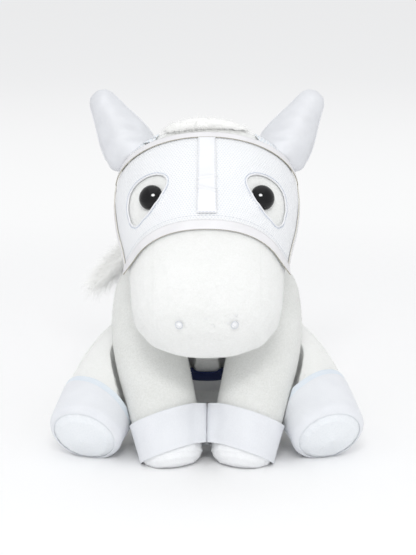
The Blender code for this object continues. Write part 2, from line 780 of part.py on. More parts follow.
def hair_pieces(torso, neck, head, neck_joint):
    """The forelock and the upper mane on the head, the lower mane on the neck and the tail."""
    lock_ends = [head.point(forelock_along, angle) for angle in (math.pi - forelock_angle, forelock_angle)]
    crown = head.point(forelock_along, math.radians(90))
    bow = crown - (lock_ends[0] + lock_ends[1]) / 2
    _, forelock = hair_lock(
        "forelock", lock_ends[0], lock_ends[1], bow, forelock_half_width, forelock_thickness, Y_AXIS
    )
    boolean(forelock, head.solid("cutter", lift=touch_gap))
    for _, side in sides():
        form = ear_form(side)
        bend_axis = form.frame(form.length / 2)[0]
        lift = touch_gap + ear_cover_thickness + swing_clearance
        carve(forelock, form, ear_root(side), bend_axis, ear_swings, lift)

    upper_start = head.point(upper_mane_along, math.radians(90))
    upper_end = head.point(upper_mane_along, math.radians(-90))
    bow = head.spine(-mane_thickness / 2) - (upper_start + upper_end) / 2
    _, upper = hair_lock("mane_upper", upper_start, upper_end, bow, mane_half_width, mane_thickness, X_AXIS)
    boolean(upper, head.solid("cutter", lift=touch_gap))
    carve(upper, neck, neck_joint, X_AXIS, nod_swings, touch_gap)

    lower_start = place(0, lower_mane_top_forward, lower_mane_top_height)
    lower_end = place(0, -lower_mane_foot_back, lower_mane_foot_height)
    bow = Y_AXIS * mane_thickness / 2
    lower_form, lower = hair_lock(
        "mane_lower", lower_start, lower_end, bow, mane_half_width, mane_thickness, X_AXIS
    )
    lock_start = place(-mane_half_width / 2, mane_lock_start_forward, mane_lock_start_height)
    lock_end = place(-mane_lock_side, mane_lock_forward, mane_lock_height)
    bow = (Y_AXIS + Z_AXIS) * mane_lock_bow
    _, lock = hair_lock("mane_lock", lock_start, lock_end, bow, mane_half_width, mane_thickness, Y_AXIS)
    boolean(lock, lower_form.solid("cutter", lift=touch_gap))
    back_swings = [-swing for swing in nod_swings]
    clear_of_head = swing_clearance + mane_thickness / 2
    for piece in (lower, lock):
        boolean(piece, neck.solid("cutter", lift=touch_gap))
        boolean(piece, torso.solid("cutter", lift=2 * touch_gap + girth_thickness))
        boolean(piece, swept_room(head, neck_joint, X_AXIS, back_swings, clear_of_head))

    tail_start = place(0, -tail_root_back, tail_root_height)
    tail_end = place(0, -tail_tip_back, tail_tip_height)
    bow = Y_AXIS * tail_radius
    _, tail = hair_lock("tail", tail_start, tail_end, bow, tail_radius, tail_radius, X_AXIS)
    carve(tail, torso, tail_start, Y_AXIS, tail_swings, touch_gap)


def girth_pieces(torso_shape, rooms):
    """The girth and its dark front binding, which squeeze between the barrel and the legs."""
    seam = girth_at + girth_width
    slices = (
        ("girth_band", ("cuff_white", cuff_white), girth_at, seam),
        ("girth_binding", ("navy", navy), seam + touch_gap, seam + girth_binding_width),
    )
    for name, finish, first, last in slices:
        band = torso_shape.solid(name, finish, lift=touch_gap + girth_thickness, first=first, last=last)
        inner = torso_shape.solid("cutter", lift=touch_gap)
        for form, pivot, swings in rooms:
            carve(band, form, pivot, X_AXIS, swings, swing_clearance)
            carve(inner, form, pivot, X_AXIS, swings, swing_clearance + girth_thickness + touch_gap)
        boolean(band, inner)


def torso_piece(torso_shape, rooms):
    """The torso, with room for the legs and a groove for the girth where a leg passes over it."""
    torso = stand_flat(torso_shape.solid("torso", ("plush_white", plush_white)))
    groove = (girth_at - touch_gap, girth_at + girth_width + girth_binding_width + touch_gap)
    groove_lift = swing_clearance + girth_thickness + 2 * touch_gap
    for form, pivot, swings in rooms:
        carve(torso, form, pivot, X_AXIS, swings, swing_clearance)
        under_girth = torso_shape.solid("cutter", lift=cut_overrun, first=groove[0], last=groove[1])
        boolean(under_girth, swept_room(form, pivot, X_AXIS, swings, groove_lift), "INTERSECT")
        boolean(torso, under_girth)
    return torso


def main():
    clear_scene()
    torso_shape, neck_shape, head_shape = torso_form(), neck_form(), head_form()
    neck_joint = place(0, neck_head_forward, neck_head_height)
    rooms = []
    for _, side in sides():
        shoulder = place(side * shoulder_side, shoulder_forward, shoulder_height)
        hip = place(side * hip_side, hip_forward, hip_height)
        rooms.append((front_leg_form(side), shoulder, front_leg_swings))
        rooms.append((hind_leg_form(side), hip, hind_leg_swings))

    torso_piece(torso_shape, rooms)
    girth_pieces(torso_shape, rooms)
    neck = neck_shape.solid("neck", ("plush_white", plush_white))
    boolean(neck, torso_shape.solid("cutter", lift=touch_gap))
    over_girth = girth_thickness + 2 * touch_gap
    girth_from = girth_at - touch_gap
    girth_to = girth_at + girth_width + girth_binding_width + touch_gap
    boolean(neck, torso_shape.solid("cutter", lift=over_girth, first=girth_from, last=girth_to))
    head = head_shape.solid("head", ("plush_white", plush_white))
    carve(head, neck_shape, neck_joint, X_AXIS, nod_swings, touch_gap)

    brow_band = mask_pieces(head_shape)

    for side_name, side in sides():
        front, hind = front_leg_form(side), hind_leg_form(side)
        shoulder = place(side * shoulder_side, shoulder_forward, shoulder_height)
        hip = place(side * hip_side, hip_forward, hip_height)
        leg_pieces("front", side_name, front, front_cuff_height, front_sole_depth, False)
        hind_pieces = leg_pieces("hind", side_name, hind, hind_cuff_height, hind_sole_depth, True)
        carve(neck, front, shoulder, X_AXIS, front_leg_swings, swing_clearance)
        for piece in hind_pieces:
            for swing in hind_leg_swings:
                passing = swept_room(front, shoulder, X_AXIS, front_leg_swings, swing_clearance)
                boolean(piece, turned(passing, hip, X_AXIS, -swing))
        eye_pieces(head_shape, side_name, side)
        boolean(head, eye_room(head_shape, side))
        ear_pieces(head_shape, brow_band, side_name, side)
        nostril(head_shape, side_name, side)
    hair_pieces(torso_shape, neck_shape, head_shape, neck_joint)


main()
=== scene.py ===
# %% [markdown]
# # A plush horse in a fly mask
# The fixed frame holds the horse's plain solids, with their names, bodies and joints. This notebook
# gives them their looks. Each stuffed piece gets a sewn skin that swells with its filling and a short
# pile, each band and each bit of mesh gets its own cloth, and the eyes are turned smooth. Every new
# piece has the form of the solid that it stands for, or a slightly fuller one.

# %% Load the fixed frame
import math
from contextlib import contextmanager

import bmesh
import bpy
import numpy as np
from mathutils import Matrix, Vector
from mathutils.bvhtree import BVHTree


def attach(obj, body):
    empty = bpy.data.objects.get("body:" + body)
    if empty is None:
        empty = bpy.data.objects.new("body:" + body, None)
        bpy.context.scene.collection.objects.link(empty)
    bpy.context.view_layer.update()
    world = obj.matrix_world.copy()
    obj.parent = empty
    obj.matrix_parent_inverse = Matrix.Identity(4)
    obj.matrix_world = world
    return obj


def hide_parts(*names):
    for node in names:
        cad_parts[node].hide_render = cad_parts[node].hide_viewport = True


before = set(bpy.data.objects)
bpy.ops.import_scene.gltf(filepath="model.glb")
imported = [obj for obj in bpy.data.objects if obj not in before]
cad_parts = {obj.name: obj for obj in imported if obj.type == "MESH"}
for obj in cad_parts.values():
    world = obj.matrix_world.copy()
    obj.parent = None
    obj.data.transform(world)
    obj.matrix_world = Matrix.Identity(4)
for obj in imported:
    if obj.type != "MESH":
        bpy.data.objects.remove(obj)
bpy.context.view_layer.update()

# %% [markdown]
# ## The camera
# The photograph was taken from straight ahead and a little above, with a long lens, so the horse's
# far parts hardly shrink. The camera stands 1.15 m from the middle of the toy, 14 degrees up.

# %% Set up the camera
scene = bpy.context.scene
scene.view_settings.view_transform = "Standard"
aim = Vector((0.0008, -0.0750, 0.1242))
camera_distance = 1.150
camera_rise = math.radians(14)
lens = bpy.data.cameras.new("photo_camera")
lens.sensor_width = 36
lens.lens = 103.8
camera = bpy.data.objects.new("photo_camera", lens)
camera.location = aim + camera_distance * Vector((0, -math.cos(camera_rise), math.sin(camera_rise)))
camera.rotation_euler = (math.radians(90) - camera_rise, 0, 0)
scene.collection.objects.link(camera)
scene.camera = camera
print("camera at", [round(value, 4) for value in camera.location])

# %% [markdown]
# ## Shader sums in plain Python
# A procedural material is a small sum of patterns. Written as nodes, one line of arithmetic takes
# many calls, so a small class wraps a socket and lets Python's own signs add the Math nodes. A second
# class holds one material while it is made.

# %% Wrap shader sockets
class Wire:
    """A value in a shader that takes part in Python sums."""

    def __init__(self, tree, socket):
        self.tree, self.socket = tree, socket

    def sum(self, operation, other, swap=False):
        node = self.tree.nodes.new("ShaderNodeMath")
        node.operation = operation
        values = (other, self) if swap else (self, other)
        for place, value in zip(node.inputs, values):
            if isinstance(value, Wire):
                self.tree.links.new(value.socket, place)
            else:
                place.default_value = value
        return Wire(self.tree, node.outputs[0])

    def __add__(self, other):
        return self.sum("ADD", other)

    def __sub__(self, other):
        return self.sum("SUBTRACT", other)

    def __rsub__(self, other):
        return self.sum("SUBTRACT", other, swap=True)

    def __mul__(self, other):
        return self.sum("MULTIPLY", other)

    def __truediv__(self, other):
        return self.sum("DIVIDE", other)

    def __mod__(self, other):
        return self.sum("FLOORED_MODULO", other)

    def __pow__(self, other):
        return self.sum("POWER", other)

    def __abs__(self):
        return self.sum("ABSOLUTE", 0)

    __radd__ = __add__
    __rmul__ = __mul__


class Finish:
    """A material in the making. Values that are the same all over are typed on the shader."""

    def __init__(self, name, colour, roughness, fixed=None):
        self.material = bpy.data.materials.new(name)
        self.material.use_nodes = True
        self.tree = self.material.node_tree
        self.shader = self.tree.nodes["Principled BSDF"]
        self.shader.inputs["Base Color"].default_value = (*colour, 1)
        self.shader.inputs["Roughness"].default_value = roughness
        for socket, value in (fixed or {}).items():
            self.shader.inputs[socket].default_value = value

    def node(self, kind, settings=None, output=0, **sockets):
        """Adds a node: its settings first, then the values or links of its sockets."""
        node = self.tree.nodes.new(kind)
        for setting, value in (settings or {}).items():
            setattr(node, setting, value)
        for name, value in sockets.items():
            self.join(value, node.inputs[name.replace("_", " ")])
        return Wire(self.tree, node.outputs[output])

    def join(self, value, socket):
        if isinstance(value, Wire):
            self.tree.links.new(value.socket, socket)
        elif isinstance(value, tuple) and socket.type == "RGBA":
            socket.default_value = (*value, 1)
        else:
            socket.default_value = value

    def feed(self, name, value):
        self.join(value, self.shader.inputs[name])

    def place(self, kind="Object"):
        """Where a point of the surface is, in metres: on the object, or on its own UV map."""
        node = self.tree.nodes.new("ShaderNodeTexCoord")
        return Wire(self.tree, node.outputs[kind])

    def split(self, vector):
        node = self.tree.nodes.new("ShaderNodeSeparateXYZ")
        self.join(vector, node.inputs[0])
        return [Wire(self.tree, output) for output in node.outputs]

    def stretch(self, vector, scale):
        return self.node("ShaderNodeMapping", Vector=vector, Scale=scale)

    def noise(self, vector, scale, detail=2.0):
        return self.node("ShaderNodeTexNoise", Vector=vector, Scale=scale, Detail=detail)

    def ramp(self, value, low, high):
        """0 below the low value, 1 above the high one, and smooth in between."""
        ends = {"From Min": low, "From Max": high}
        node = self.tree.nodes.new("ShaderNodeMapRange")
        node.interpolation_type = "SMOOTHSTEP"
        self.join(value, node.inputs["Value"])
        for name, end in ends.items():
            node.inputs[name].default_value = end
        return Wire(self.tree, node.outputs[0])

    def mix(self, share, first, second):
        """The first colour where share is 0 and the second where it is 1."""
        node = self.tree.nodes.new("ShaderNodeMix")
        node.data_type = "RGBA"
        for place, value in ((0, share), (6, first), (7, second)):
            self.join(value, node.inputs[place])
        return Wire(self.tree, node.outputs[2])

    def bump(self, height, distance, strength=1.0):
        made = self.node("ShaderNodeBump", Height=height, Distance=distance, Strength=strength)
        self.feed("Normal", made)


# %% [markdown]
# ## Plush
# The skin is a short white pile. Up close it breaks into tufts about 2 mm wide, and these into
# fibres far thinner than a millimetre. Two noises of those sizes drive the bump and a slight change
# of tone, and a sheen gives the pale edge that fibres show at a grazing view. The muzzle is sewn of
# three panels, so two faint seams run down it, 36.5 mm to each side of the middle, each a groove
# with painted shade along it. The front legs lie in the head's shade, so their plush is a darker
# copy that paints that shade in. The soles look bluer than the rest and have their own plush, and
# the front soles get a lighter copy of it that paints in light.

# %% Make the plush finishes
def plush(name, light, shade, tuft=1.0, seams=False):
    dull = {"Sheen Weight": 0.20, "Sheen Roughness": 0.6, "Specular IOR Level": 0.15}
    made = Finish(name, light, 0.95, dull)
    place = made.place()
    tufts = made.noise(place, 620 / tuft, 3)
    fibres = made.noise(made.stretch(place, (1, 1, 0.45)), 2100, 4)
    broad = made.noise(place, 26, 2)
    tone = made.ramp(tufts * 0.30 + fibres * 0.45 + broad * 0.25, 0.38, 0.60)
    colour, height = made.mix(tone, shade, light), tufts * 0.5 + fibres * 0.5
    if seams:
        across, forward, up = made.split(place)
        # Painted shade: each seam line is mixed toward the darker plush colour, as shade in its groove, and
        # its height dips.
        line = made.ramp(abs(abs(across) - 0.0365), 0.0013, 0.0002)
        line = line * made.ramp(forward, -0.100, -0.106) * made.ramp(up, 0.108, 0.128)
        colour = made.mix(line * 0.30, colour, shade)
        height = height - line * 0.35
    made.feed("Base Color", colour)
    made.feed("Roughness", 0.85 + fibres * 0.15)
    made.bump(height, 0.0008, 0.5)
    return made.material


body_plush = plush("body_plush", (0.925, 0.930, 0.918), (0.880, 0.886, 0.866))
face_plush = plush("face_plush", (0.908, 0.914, 0.903), (0.864, 0.871, 0.854), seams=True)
# Painted shade: the front legs' plush is a darker copy of the body plush, for the shade the head casts on
# them.
leg_plush_painted_shade = plush("leg_plush_painted_shade", (0.835, 0.843, 0.824), (0.765, 0.774, 0.750))
sole_plush = plush("sole_plush", (0.900, 0.922, 0.945), (0.850, 0.878, 0.908), 0.8)
# Painted light: a lighter copy of the sole plush, so that the front soles look more brightly lit.
tread_plush_painted_light = plush("tread_plush_painted_light", (0.965, 0.975, 0.988), (0.930, 0.943, 0.958), 0.8)
print("plush:", body_plush.name, face_plush.name, sole_plush.name)

# %% [markdown]
# ## Smooth cloths, knit and leatherette
# The cuffs are a brushed cloth with a very fine nap. The mask is a knit with a small hole every
# 1.9 mm, in staggered rows, so its pattern reads the UV map, which is laid in metres on the cloth. The
# holes are painted darker and bluer, as painted shade seen through them.
# The bands and the ear covers are a leatherette: a fine grain and a soft gloss. The finish can
# also draw rows of stitches, but none of them is given any. Where a band is cut, its tan backing shows.
# That cut edge is painted darker as well, as the shade under the band's edge.

# %% Make the cloth finishes
def brushed(name, light, shade):
    dull = {"Sheen Weight": 0.15, "Sheen Roughness": 0.5, "Specular IOR Level": 0.2}
    made = Finish(name, light, 0.85, dull)
    place = made.place()
    nap = made.noise(made.stretch(place, (1, 1, 0.35)), 1800, 3)
    folds = made.noise(place, 60, 2)
    made.feed("Base Color", made.mix(made.ramp(nap * 0.5 + folds * 0.5, 0.36, 0.62), shade, light))
    made.feed("Roughness", 0.78 + nap * 0.18)
    made.bump(nap * 0.35 + folds * 0.65, 0.0006, 0.5)
    return made.material


def knit(name, light, painted_hole_shade, pitch, hole_share):
    """A knit with round holes in staggered rows. The holes are painted darker, as shade seen through them.
    """
    made = Finish(name, light, 0.75, {"Sheen Weight": 0.10, "Specular IOR Level": 0.25})
    along, around, _ = made.split(made.place("UV"))
    row_height = pitch * 0.78
    row = along / row_height
    step = (row - row % 1.0) % 2.0
    across = (around / pitch + step * 0.5) % 1.0 - 0.5
    down = (row % 1.0 - 0.5) * 0.78
    reach = (across * across + down * down) ** 0.5
    hole = 1.0 - made.ramp(reach, hole_share * 0.65, hole_share)
    thread = made.noise(made.place(), 2200, 2)
    broad = made.noise(made.place(), 45, 2)
    dull = (light[0] * 0.965, light[1] * 0.970, light[2] * 0.980)
    base = made.mix(made.ramp(thread * 0.6 + broad * 0.4, 0.36, 0.62), dull, light)
    # Painted shade: the holes take a darker, bluer colour, as the shade seen through them.
    made.feed("Base Color", made.mix(hole, base, painted_hole_shade))
    made.bump(thread * 0.15 - hole, 0.0005, 0.7)
    return made.material


def leatherette(name, light, shade, stitch_edges=()):
    """A smooth coated cloth. Each stitch edge is a line on the UV map's second axis, in metres."""
    made = Finish(name, light, 0.45, {"Specular IOR Level": 0.22, "Coat Roughness": 0.35})
    place = made.place()
    grain = made.node("ShaderNodeTexVoronoi", {"feature": "DISTANCE_TO_EDGE"}, Vector=place, Scale=1100)
    soft = made.noise(place, 70, 3)
    tone = made.ramp(soft, 0.35, 0.65)
    colour, height = made.mix(tone, shade, light), grain * 0.5 + soft * 0.8
    if stitch_edges:
        run, across, _ = made.split(made.place("UV"))
        dash = made.ramp(abs((run / 0.0024) % 1.0 - 0.5), 0.40, 0.32)
        for edge in stitch_edges:
            line = made.ramp(abs(across - edge), 0.00042, 0.00022) * dash
            colour = made.mix(line * 0.55, colour, tuple(value * 0.86 for value in shade))
            height = height - line * 1.4
    made.feed("Base Color", colour)
    made.feed("Roughness", 0.40 + soft * 0.14)
    made.bump(height, 0.00022, 0.6)
    return made.material


cuff_cloth = brushed("cuff_cloth", (0.825, 0.842, 0.874), (0.790, 0.806, 0.840))
hem_cloth = brushed("hem_cloth", (0.790, 0.845, 0.900), (0.735, 0.795, 0.862))
girth_cloth = brushed("girth_cloth", (0.870, 0.875, 0.885), (0.830, 0.835, 0.850))
mask_knit = knit("mask_knit", (0.945, 0.951, 0.960), (0.845, 0.875, 0.915), 0.0019, 0.30)
ear_knit = knit("ear_knit", (0.920, 0.937, 0.955), (0.700, 0.780, 0.860), 0.0029, 0.32)
# Painted shade: the ear covers' leatherette is darker than the bands' white, for the shade on the ears.
ear_leather_painted_shade = leatherette("ear_leather_painted_shade", (0.730, 0.742, 0.770), (0.685, 0.696, 0.724))
print("cloths:", cuff_cloth.name, mask_knit.name, ear_leather_painted_shade.name)

# %% [markdown]
# ## Thread, hair, binding and plastic
# The stitched details take a thread with a fine twist. Hair is a warm white that darkens a little
# between its strands. The girth's front edge is bound with a dark ribbed tape. The eyes are a black
# gloss plastic, and so pure a black that only their highlight and a faint sky show on them.

# %% Make the small finishes
def twisted(name, light, shade, scale=2600, roughness=0.7):
    made = Finish(name, light, roughness, {"Specular IOR Level": 0.3})
    place = made.place()
    slant = {"bands_direction": "DIAGONAL"}
    twist = made.node("ShaderNodeTexWave", slant, Vector=place, Scale=scale / 6, Distortion=2.0)
    lint = made.noise(place, scale, 2)
    made.feed("Base Color", made.mix(made.ramp(twist * 0.6 + lint * 0.4, 0.25, 0.75), shade, light))
    made.bump(twist + lint * 0.4, 0.0002, 0.5)
    return made.material


def ribbed(name, light, shade):
    made = Finish(name, light, 0.75, {"Sheen Weight": 0.05, "Specular IOR Level": 0.3})
    run, across, _ = made.split(made.place("UV"))
    rib = abs((run / 0.0007) % 1.0 - 0.5) * 2.0
    lint = made.noise(made.place(), 1500, 2)
    made.feed("Base Color", made.mix(made.ramp(rib * 0.5 + lint * 0.5, 0.2, 0.8), shade, light))
    made.bump(rib + lint * 0.3, 0.00015, 0.6)
    return made.material


def gloss(name, colour, bloom):
    made = Finish(name, colour, 0.05, {"Specular IOR Level": 0.30})
    haze = made.noise(made.place(), 240, 3)
    made.feed("Base Color", made.mix(made.ramp(haze, 0.4, 0.7), colour, bloom))
    made.feed("Roughness", 0.02 + haze * 0.03)
    made.bump(haze, 0.00002, 0.3)
    return made.material


hair_white = twisted("hair_white", (0.990, 0.990, 0.980), (0.968, 0.968, 0.954), 1400, 0.85)
white_thread = twisted("white_thread", (0.930, 0.935, 0.950), (0.840, 0.850, 0.875))
rim_thread = twisted("rim_thread", (0.710, 0.755, 0.830), (0.570, 0.620, 0.710))
seam_thread = twisted("seam_thread", (0.780, 0.800, 0.840), (0.660, 0.690, 0.740))
# Tan backing plus painted shade: the cut edges of the bands and side trims are darkened for the shade at
# those edges.
cut_edge_backing_and_shade = twisted("cut_edge_backing_and_shade", (0.560, 0.530, 0.450), (0.460, 0.430, 0.360))
trim_edge_backing_and_shade = twisted("trim_edge_backing_and_shade", (0.740, 0.720, 0.660), (0.640, 0.620, 0.560))
washer_plastic = gloss("washer_plastic", (0.700, 0.700, 0.680), (0.740, 0.740, 0.720))
navy_tape = ribbed("navy_tape", (0.014, 0.030, 0.140), (0.008, 0.016, 0.075))
eye_black = gloss("eye_black", (0.0030, 0.0030, 0.0035), (0.0060, 0.0060, 0.0070))
print("small finishes:", len(bpy.data.materials))

# %% [markdown]
# ## Forms along a spine
# Every stuffed part of the horse is a round form along a gently bent line: it swells and tapers
# along that line, and both ends are rounded. One class gives any point of such a surface from its
# distance along the line and its angle round it, so the skins and the cloth on them share one shape.

# %% Describe a stuffed form
def smooth_value(table, share, column):
    """Reads one column of a table of shares, smoothly, at a share of the length."""
    count = len(table)
    spot = 0
    while spot < count - 2 and table[spot + 1][0] <= share:
        spot += 1
    low, high = table[spot], table[spot + 1]
    before, after = table[max(spot - 1, 0)], table[min(spot + 2, count - 1)]
    width = high[0] - low[0]
    part = min(max((share - low[0]) / width, 0), 1)
    slope_low = (high[column] - before[column]) / (high[0] - before[0]) * width
    slope_high = (after[column] - low[column]) / (after[0] - low[0]) * width
    square, cube = part**2, part**3
    return (
        (2 * cube - 3 * square + 1) * low[column]
        + (cube - 2 * square + part) * slope_low
        + (3 * square - 2 * cube) * high[column]
        + (cube - square) * slope_high
    )


def rounded(value, power):
    return math.copysign(abs(value) ** (2 / power), value)


class Form:
    """A round form that swells and tapers along a bent line."""

    def __init__(self, start, end, sizes, shares, rounds, bow=Vector(), sway=Vector(), end_power=2):
        self.start, self.end, self.sizes, self.shares, self.rounds = start, end, sizes, shares, rounds
        self.bow, self.sway, self.end_power = bow, sway, end_power
        self.length = (end - start).length

    def spine(self, along):
        share = along / self.length
        inside = min(max(share, 0), 1)
        bend = self.bow * math.sin(math.pi * inside) + self.sway * math.sin(math.tau * inside)
        return self.start.lerp(self.end, share) + bend

    def directions(self, along):
        step = self.length / 100
        ahead = (self.spine(along + step) - self.spine(along - step)).normalized()
        side = (Vector((1, 0, 0)) - ahead * ahead.x).normalized()
        return side, ahead.cross(side), ahead

    def point(self, along, angle, lift=0.0):
        share = min(max(along / self.length, 0), 1)
        from_start = max(1 - (along + lift) / (self.rounds[0] + lift), 0)
        from_end = max(1 - (self.length - along + lift) / (self.rounds[1] + lift), 0)
        power = self.end_power
        drawn = max(1 - from_start**2, 0) ** 0.5 * max(1 - from_end**power, 0) ** (1 / power)
        across, upward = math.cos(angle), math.sin(angle)
        width = (self.sizes[0] * smooth_value(self.shares, share, 1) + lift) * drawn
        column = 2 if upward >= 0 else 3
        height = (self.sizes[column - 1] * smooth_value(self.shares, share, column) + lift) * drawn
        side, up, _ = self.directions(along)
        squareness = smooth_value(self.shares, share, 4)
        sideways, upwards = rounded(across, squareness), rounded(upward, squareness)
        return self.spine(along) + side * width * sideways + up * height * upwards


def place(side, forward, height):
    """A point given by its distance to the side, ahead of the seat and above the floor."""
    return Vector((side, -forward, height))


# %% The horse's forms
def torso_form():
    shares = ((0, 0.96, 0.92, 0.98, 2.1), (0.3, 1, 1, 1, 2.1), (0.6, 0.94, 0.96, 0.90, 2.1),
              (0.85, 0.80, 0.74, 0.70, 2.1), (1, 0.70, 0.60, 0.60, 2.1))
    start, end = place(0, -0.043, 0.0196), place(0, 0.080, 0.112)
    return Form(start, end, (0.060, 0.050, 0.050), shares, (0.046, 0.034))


def neck_form():
    foot, joint = place(0, 0.044, 0.106), place(0, 0.045, 0.168)
    shares = ((0, 1, 1, 1, 2), (1, 1, 1, 1, 2))
    end = joint + (joint - foot).normalized() * 0.035
    return Form(foot, end, (0.035, 0.035, 0.035), shares, (0.0175, 0.035))


def head_form():
    slope = math.radians(42)
    axis, skull = Vector((0, -math.cos(slope), -math.sin(slope))), place(0, 0.056, 0.1861)
    shares = ((0, 0.96, 0.96, 0.90, 2), (0.21, 0.985, 1, 1, 2.05), (0.32, 1, 1, 1, 2.1),
              (0.45, 0.96, 0.95, 0.90, 2.15), (0.57, 0.885, 0.87, 0.72, 2.3), (0.70, 0.83, 0.81, 0.63, 2.4),
              (0.85, 0.80, 0.78, 0.62, 2.5), (1, 0.77, 0.74, 0.60, 2.5))
    sizes, rounds = (0.0645, 0.0618, 0.0425), (0.0406, 0.0386)
    return Form(skull - axis * 0.0358, skull + axis * 0.1390, sizes, shares, rounds, end_power=2.5)


def front_leg_form(side):
    joint, foot, radius = place(side * 0.034, 0.054, 0.1035), place(side * 0.023, 0.125, -0.0045), 0.027
    shares = ((0, 0.98, 0.98, 0.98, 2), (0.4, 1, 1, 1, 2), (0.6, 0.97, 0.98, 0.98, 2),
              (0.78, 0.91, 0.94, 0.94, 2), (1, 0.77, 0.84, 0.84, 2))
    start = joint - (foot - joint).normalized() * radius
    bow, sway = place(side * 0.0095, 0.007, 0.004), place(side * 0.003, 0, 0)
    return Form(start, foot, (radius, radius, radius), shares, (radius, 0.0115), bow, sway)


def hind_leg_form(side):
    joint, foot, radius = place(side * 0.050, 0.002, 0.046), place(side * 0.0885, 0.124, 0.0165), 0.0275
    shares = ((0, 1, 1, 1, 2), (0.4, 0.98, 0.98, 0.98, 2), (0.75, 0.95, 0.95, 0.95, 2),
              (1, 0.93, 0.93, 0.93, 2))
    start = joint - (foot - joint).normalized() * radius
    bow = place(side * 0.002, 0.013 / 4, 0.013)
    return Form(start, foot, (radius, radius, radius), shares, (radius, 0.0115), bow)


head_shape, torso_shape = head_form(), torso_form()


def ear_form(side):
    angle = math.radians(25) if side > 0 else math.radians(155)
    root, tip, thickness = head_shape.point(0.024, angle), place(side * 0.0785, 0.045, 0.2535), 0.008
    shares = ((0, 1, 1, 1, 2), (0.35, 0.92, 1, 1, 2), (0.7, 0.60, 0.72, 0.72, 2), (1, 0.36, 0.45, 0.45, 2))
    start = root - (tip - root).normalized() * thickness
    return Form(start, tip, (0.0185, thickness, thickness), shares, (thickness, 0.006))


both_sides = (("right", -1), ("left", 1))
sole_seams = {"front": 0.0110, "hind": 0.0105}
eye_radius, eye_height, eye_along, eye_turn = 0.0088, 0.0074, 0.0805, 53.8
print("head length:", round(head_shape.length, 4), "torso length:", round(torso_shape.length, 4))

# %% [markdown]
# ## From a form to a mesh
# A grid is wrapped round the form, and its two long edges are merged where they meet. The grid's UV
# map is laid in metres, so that a knit or a row of stitches keeps its size on the cloth.

# %% Wrap a grid round a form
def sag(angle):
    """How much of its droop a cloth edge has at an angle: none on top, less again far round the side."""
    rise = math.sin(angle)
    past = max(0.55 - rise, 0)
    return 1 - rise - 2.8 * past**2


def wrap(form, along_range, angle_range, grid, lift=0.0, droops=(0, 0), raised=None, slants=(0, 0)):
    """A cloth grid on a form between two places and two angles.

    Its edges may droop at the sides, and slant from one side to the other.
    """
    cloth = bmesh.new()
    bmesh.ops.create_grid(cloth, x_segments=grid[0], y_segments=grid[1], size=1, calc_uvs=True)
    uv_map = cloth.loops.layers.uv.verify()
    middle = sum(along_range) / 2
    turn = angle_range[1] - angle_range[0]
    points = [form.point(middle, angle_range[0] + turn * step / 60) for step in range(61)]
    girth = sum((b - a).length for a, b in zip(points, points[1:]))
    height = along_range[1] - along_range[0]
    for face in cloth.faces:
        for corner in face.loops:
            corner[uv_map].uv = ((corner.vert.co.x + 1) / 2 * height, (corner.vert.co.y + 1) / 2 * girth)
    for vert in cloth.verts:
        down, around = (vert.co.x + 1) / 2, (vert.co.y + 1) / 2
        angle = angle_range[0] + turn * around
        low, high = (
            at + droop * sag(angle) + slant * math.cos(angle)
            for at, droop, slant in zip(along_range, droops, slants)
        )
        extra = raised(down, around) if raised else 0.0
        vert.co = form.point(low + (high - low) * down, angle, lift + extra)
    return cloth


weld = 0.00002


def close_up(cloth, gap=weld):
    """Merges the edges that meet and turns every face outwards."""
    bmesh.ops.remove_doubles(cloth, verts=cloth.verts, dist=gap)
    bmesh.ops.recalc_face_normals(cloth, faces=cloth.faces)
    return cloth


def full_form(form, first=None, last=None, sides=56, rings=44, lift=0.0):
    """The whole closed form, or the part of it between two places, with flat ends there."""
    low = -lift if first is None else first
    high = form.length + lift if last is None else last
    skin = wrap(form, (low, high), (0, math.tau), (rings, sides), lift)
    ends = {low: first is not None, high: last is not None}
    for along, flat in ends.items():
        if flat:
            centre, ahead = form.spine(along), form.directions(along)[2]
            rim = [v for v in skin.verts if abs((v.co - centre).dot(ahead)) < 0.0002 and v.is_boundary]
            edges = [e for e in skin.edges if e.is_boundary and e.verts[0] in rim and e.verts[1] in rim]
            close = bmesh.ops.extrude_edge_only(skin, edges=edges)["geom"]
            inner = [part for part in close if isinstance(part, bmesh.types.BMVert)]
            for vert in inner:
                vert.co = centre
    return close_up(skin)


def as_object(name, mesh_data, *materials):
    mesh = bpy.data.meshes.new(name)
    mesh_data.to_mesh(mesh)
    mesh_data.free()
    mesh.shade_smooth()
    for material in materials:
        mesh.materials.append(material)
    made = bpy.data.objects.new(name, mesh)
    scene.collection.objects.link(made)
    return made


@contextmanager
def opened(piece):
    """A piece's mesh, open for work. What is done to it is kept."""
    mesh = bmesh.new()
    mesh.from_mesh(piece.data)
    yield mesh
    mesh.to_mesh(piece.data)
    mesh.free()


def relax(mesh, verts, rounds=1):
    """Moves points towards the middle of their neighbours, one or more times over."""
    every_way = {"use_axis_x": True, "use_axis_y": True, "use_axis_z": True}
    for _ in range(rounds):
        bmesh.ops.smooth_vert(mesh, verts=verts, factor=0.5, **every_way)


def from_points(name, verts, faces, material):
    """An object from lists of points and faces."""
    mesh = bpy.data.meshes.new(name)
    mesh.from_pydata(verts, [], faces)
    mesh.materials.append(material)
    made = bpy.data.objects.new(name, mesh)
    scene.collection.objects.link(made)
    return made


def settle(piece):
    """Applies a piece's modifiers and keeps the result as its mesh."""
    bpy.context.view_layer.update()
    graph = bpy.context.evaluated_depsgraph_get()
    made = bpy.data.meshes.new_from_object(piece.evaluated_get(graph))
    old = piece.data
    piece.modifiers.clear()
    piece.data = made
    bpy.data.meshes.remove(old)
    made.name = piece.name
    made.shade_smooth()
    return piece


def subdivide(piece, levels=1):
    smooth = piece.modifiers.new("smooth", "SUBSURF")
    smooth.levels = smooth.render_levels = levels
    return piece


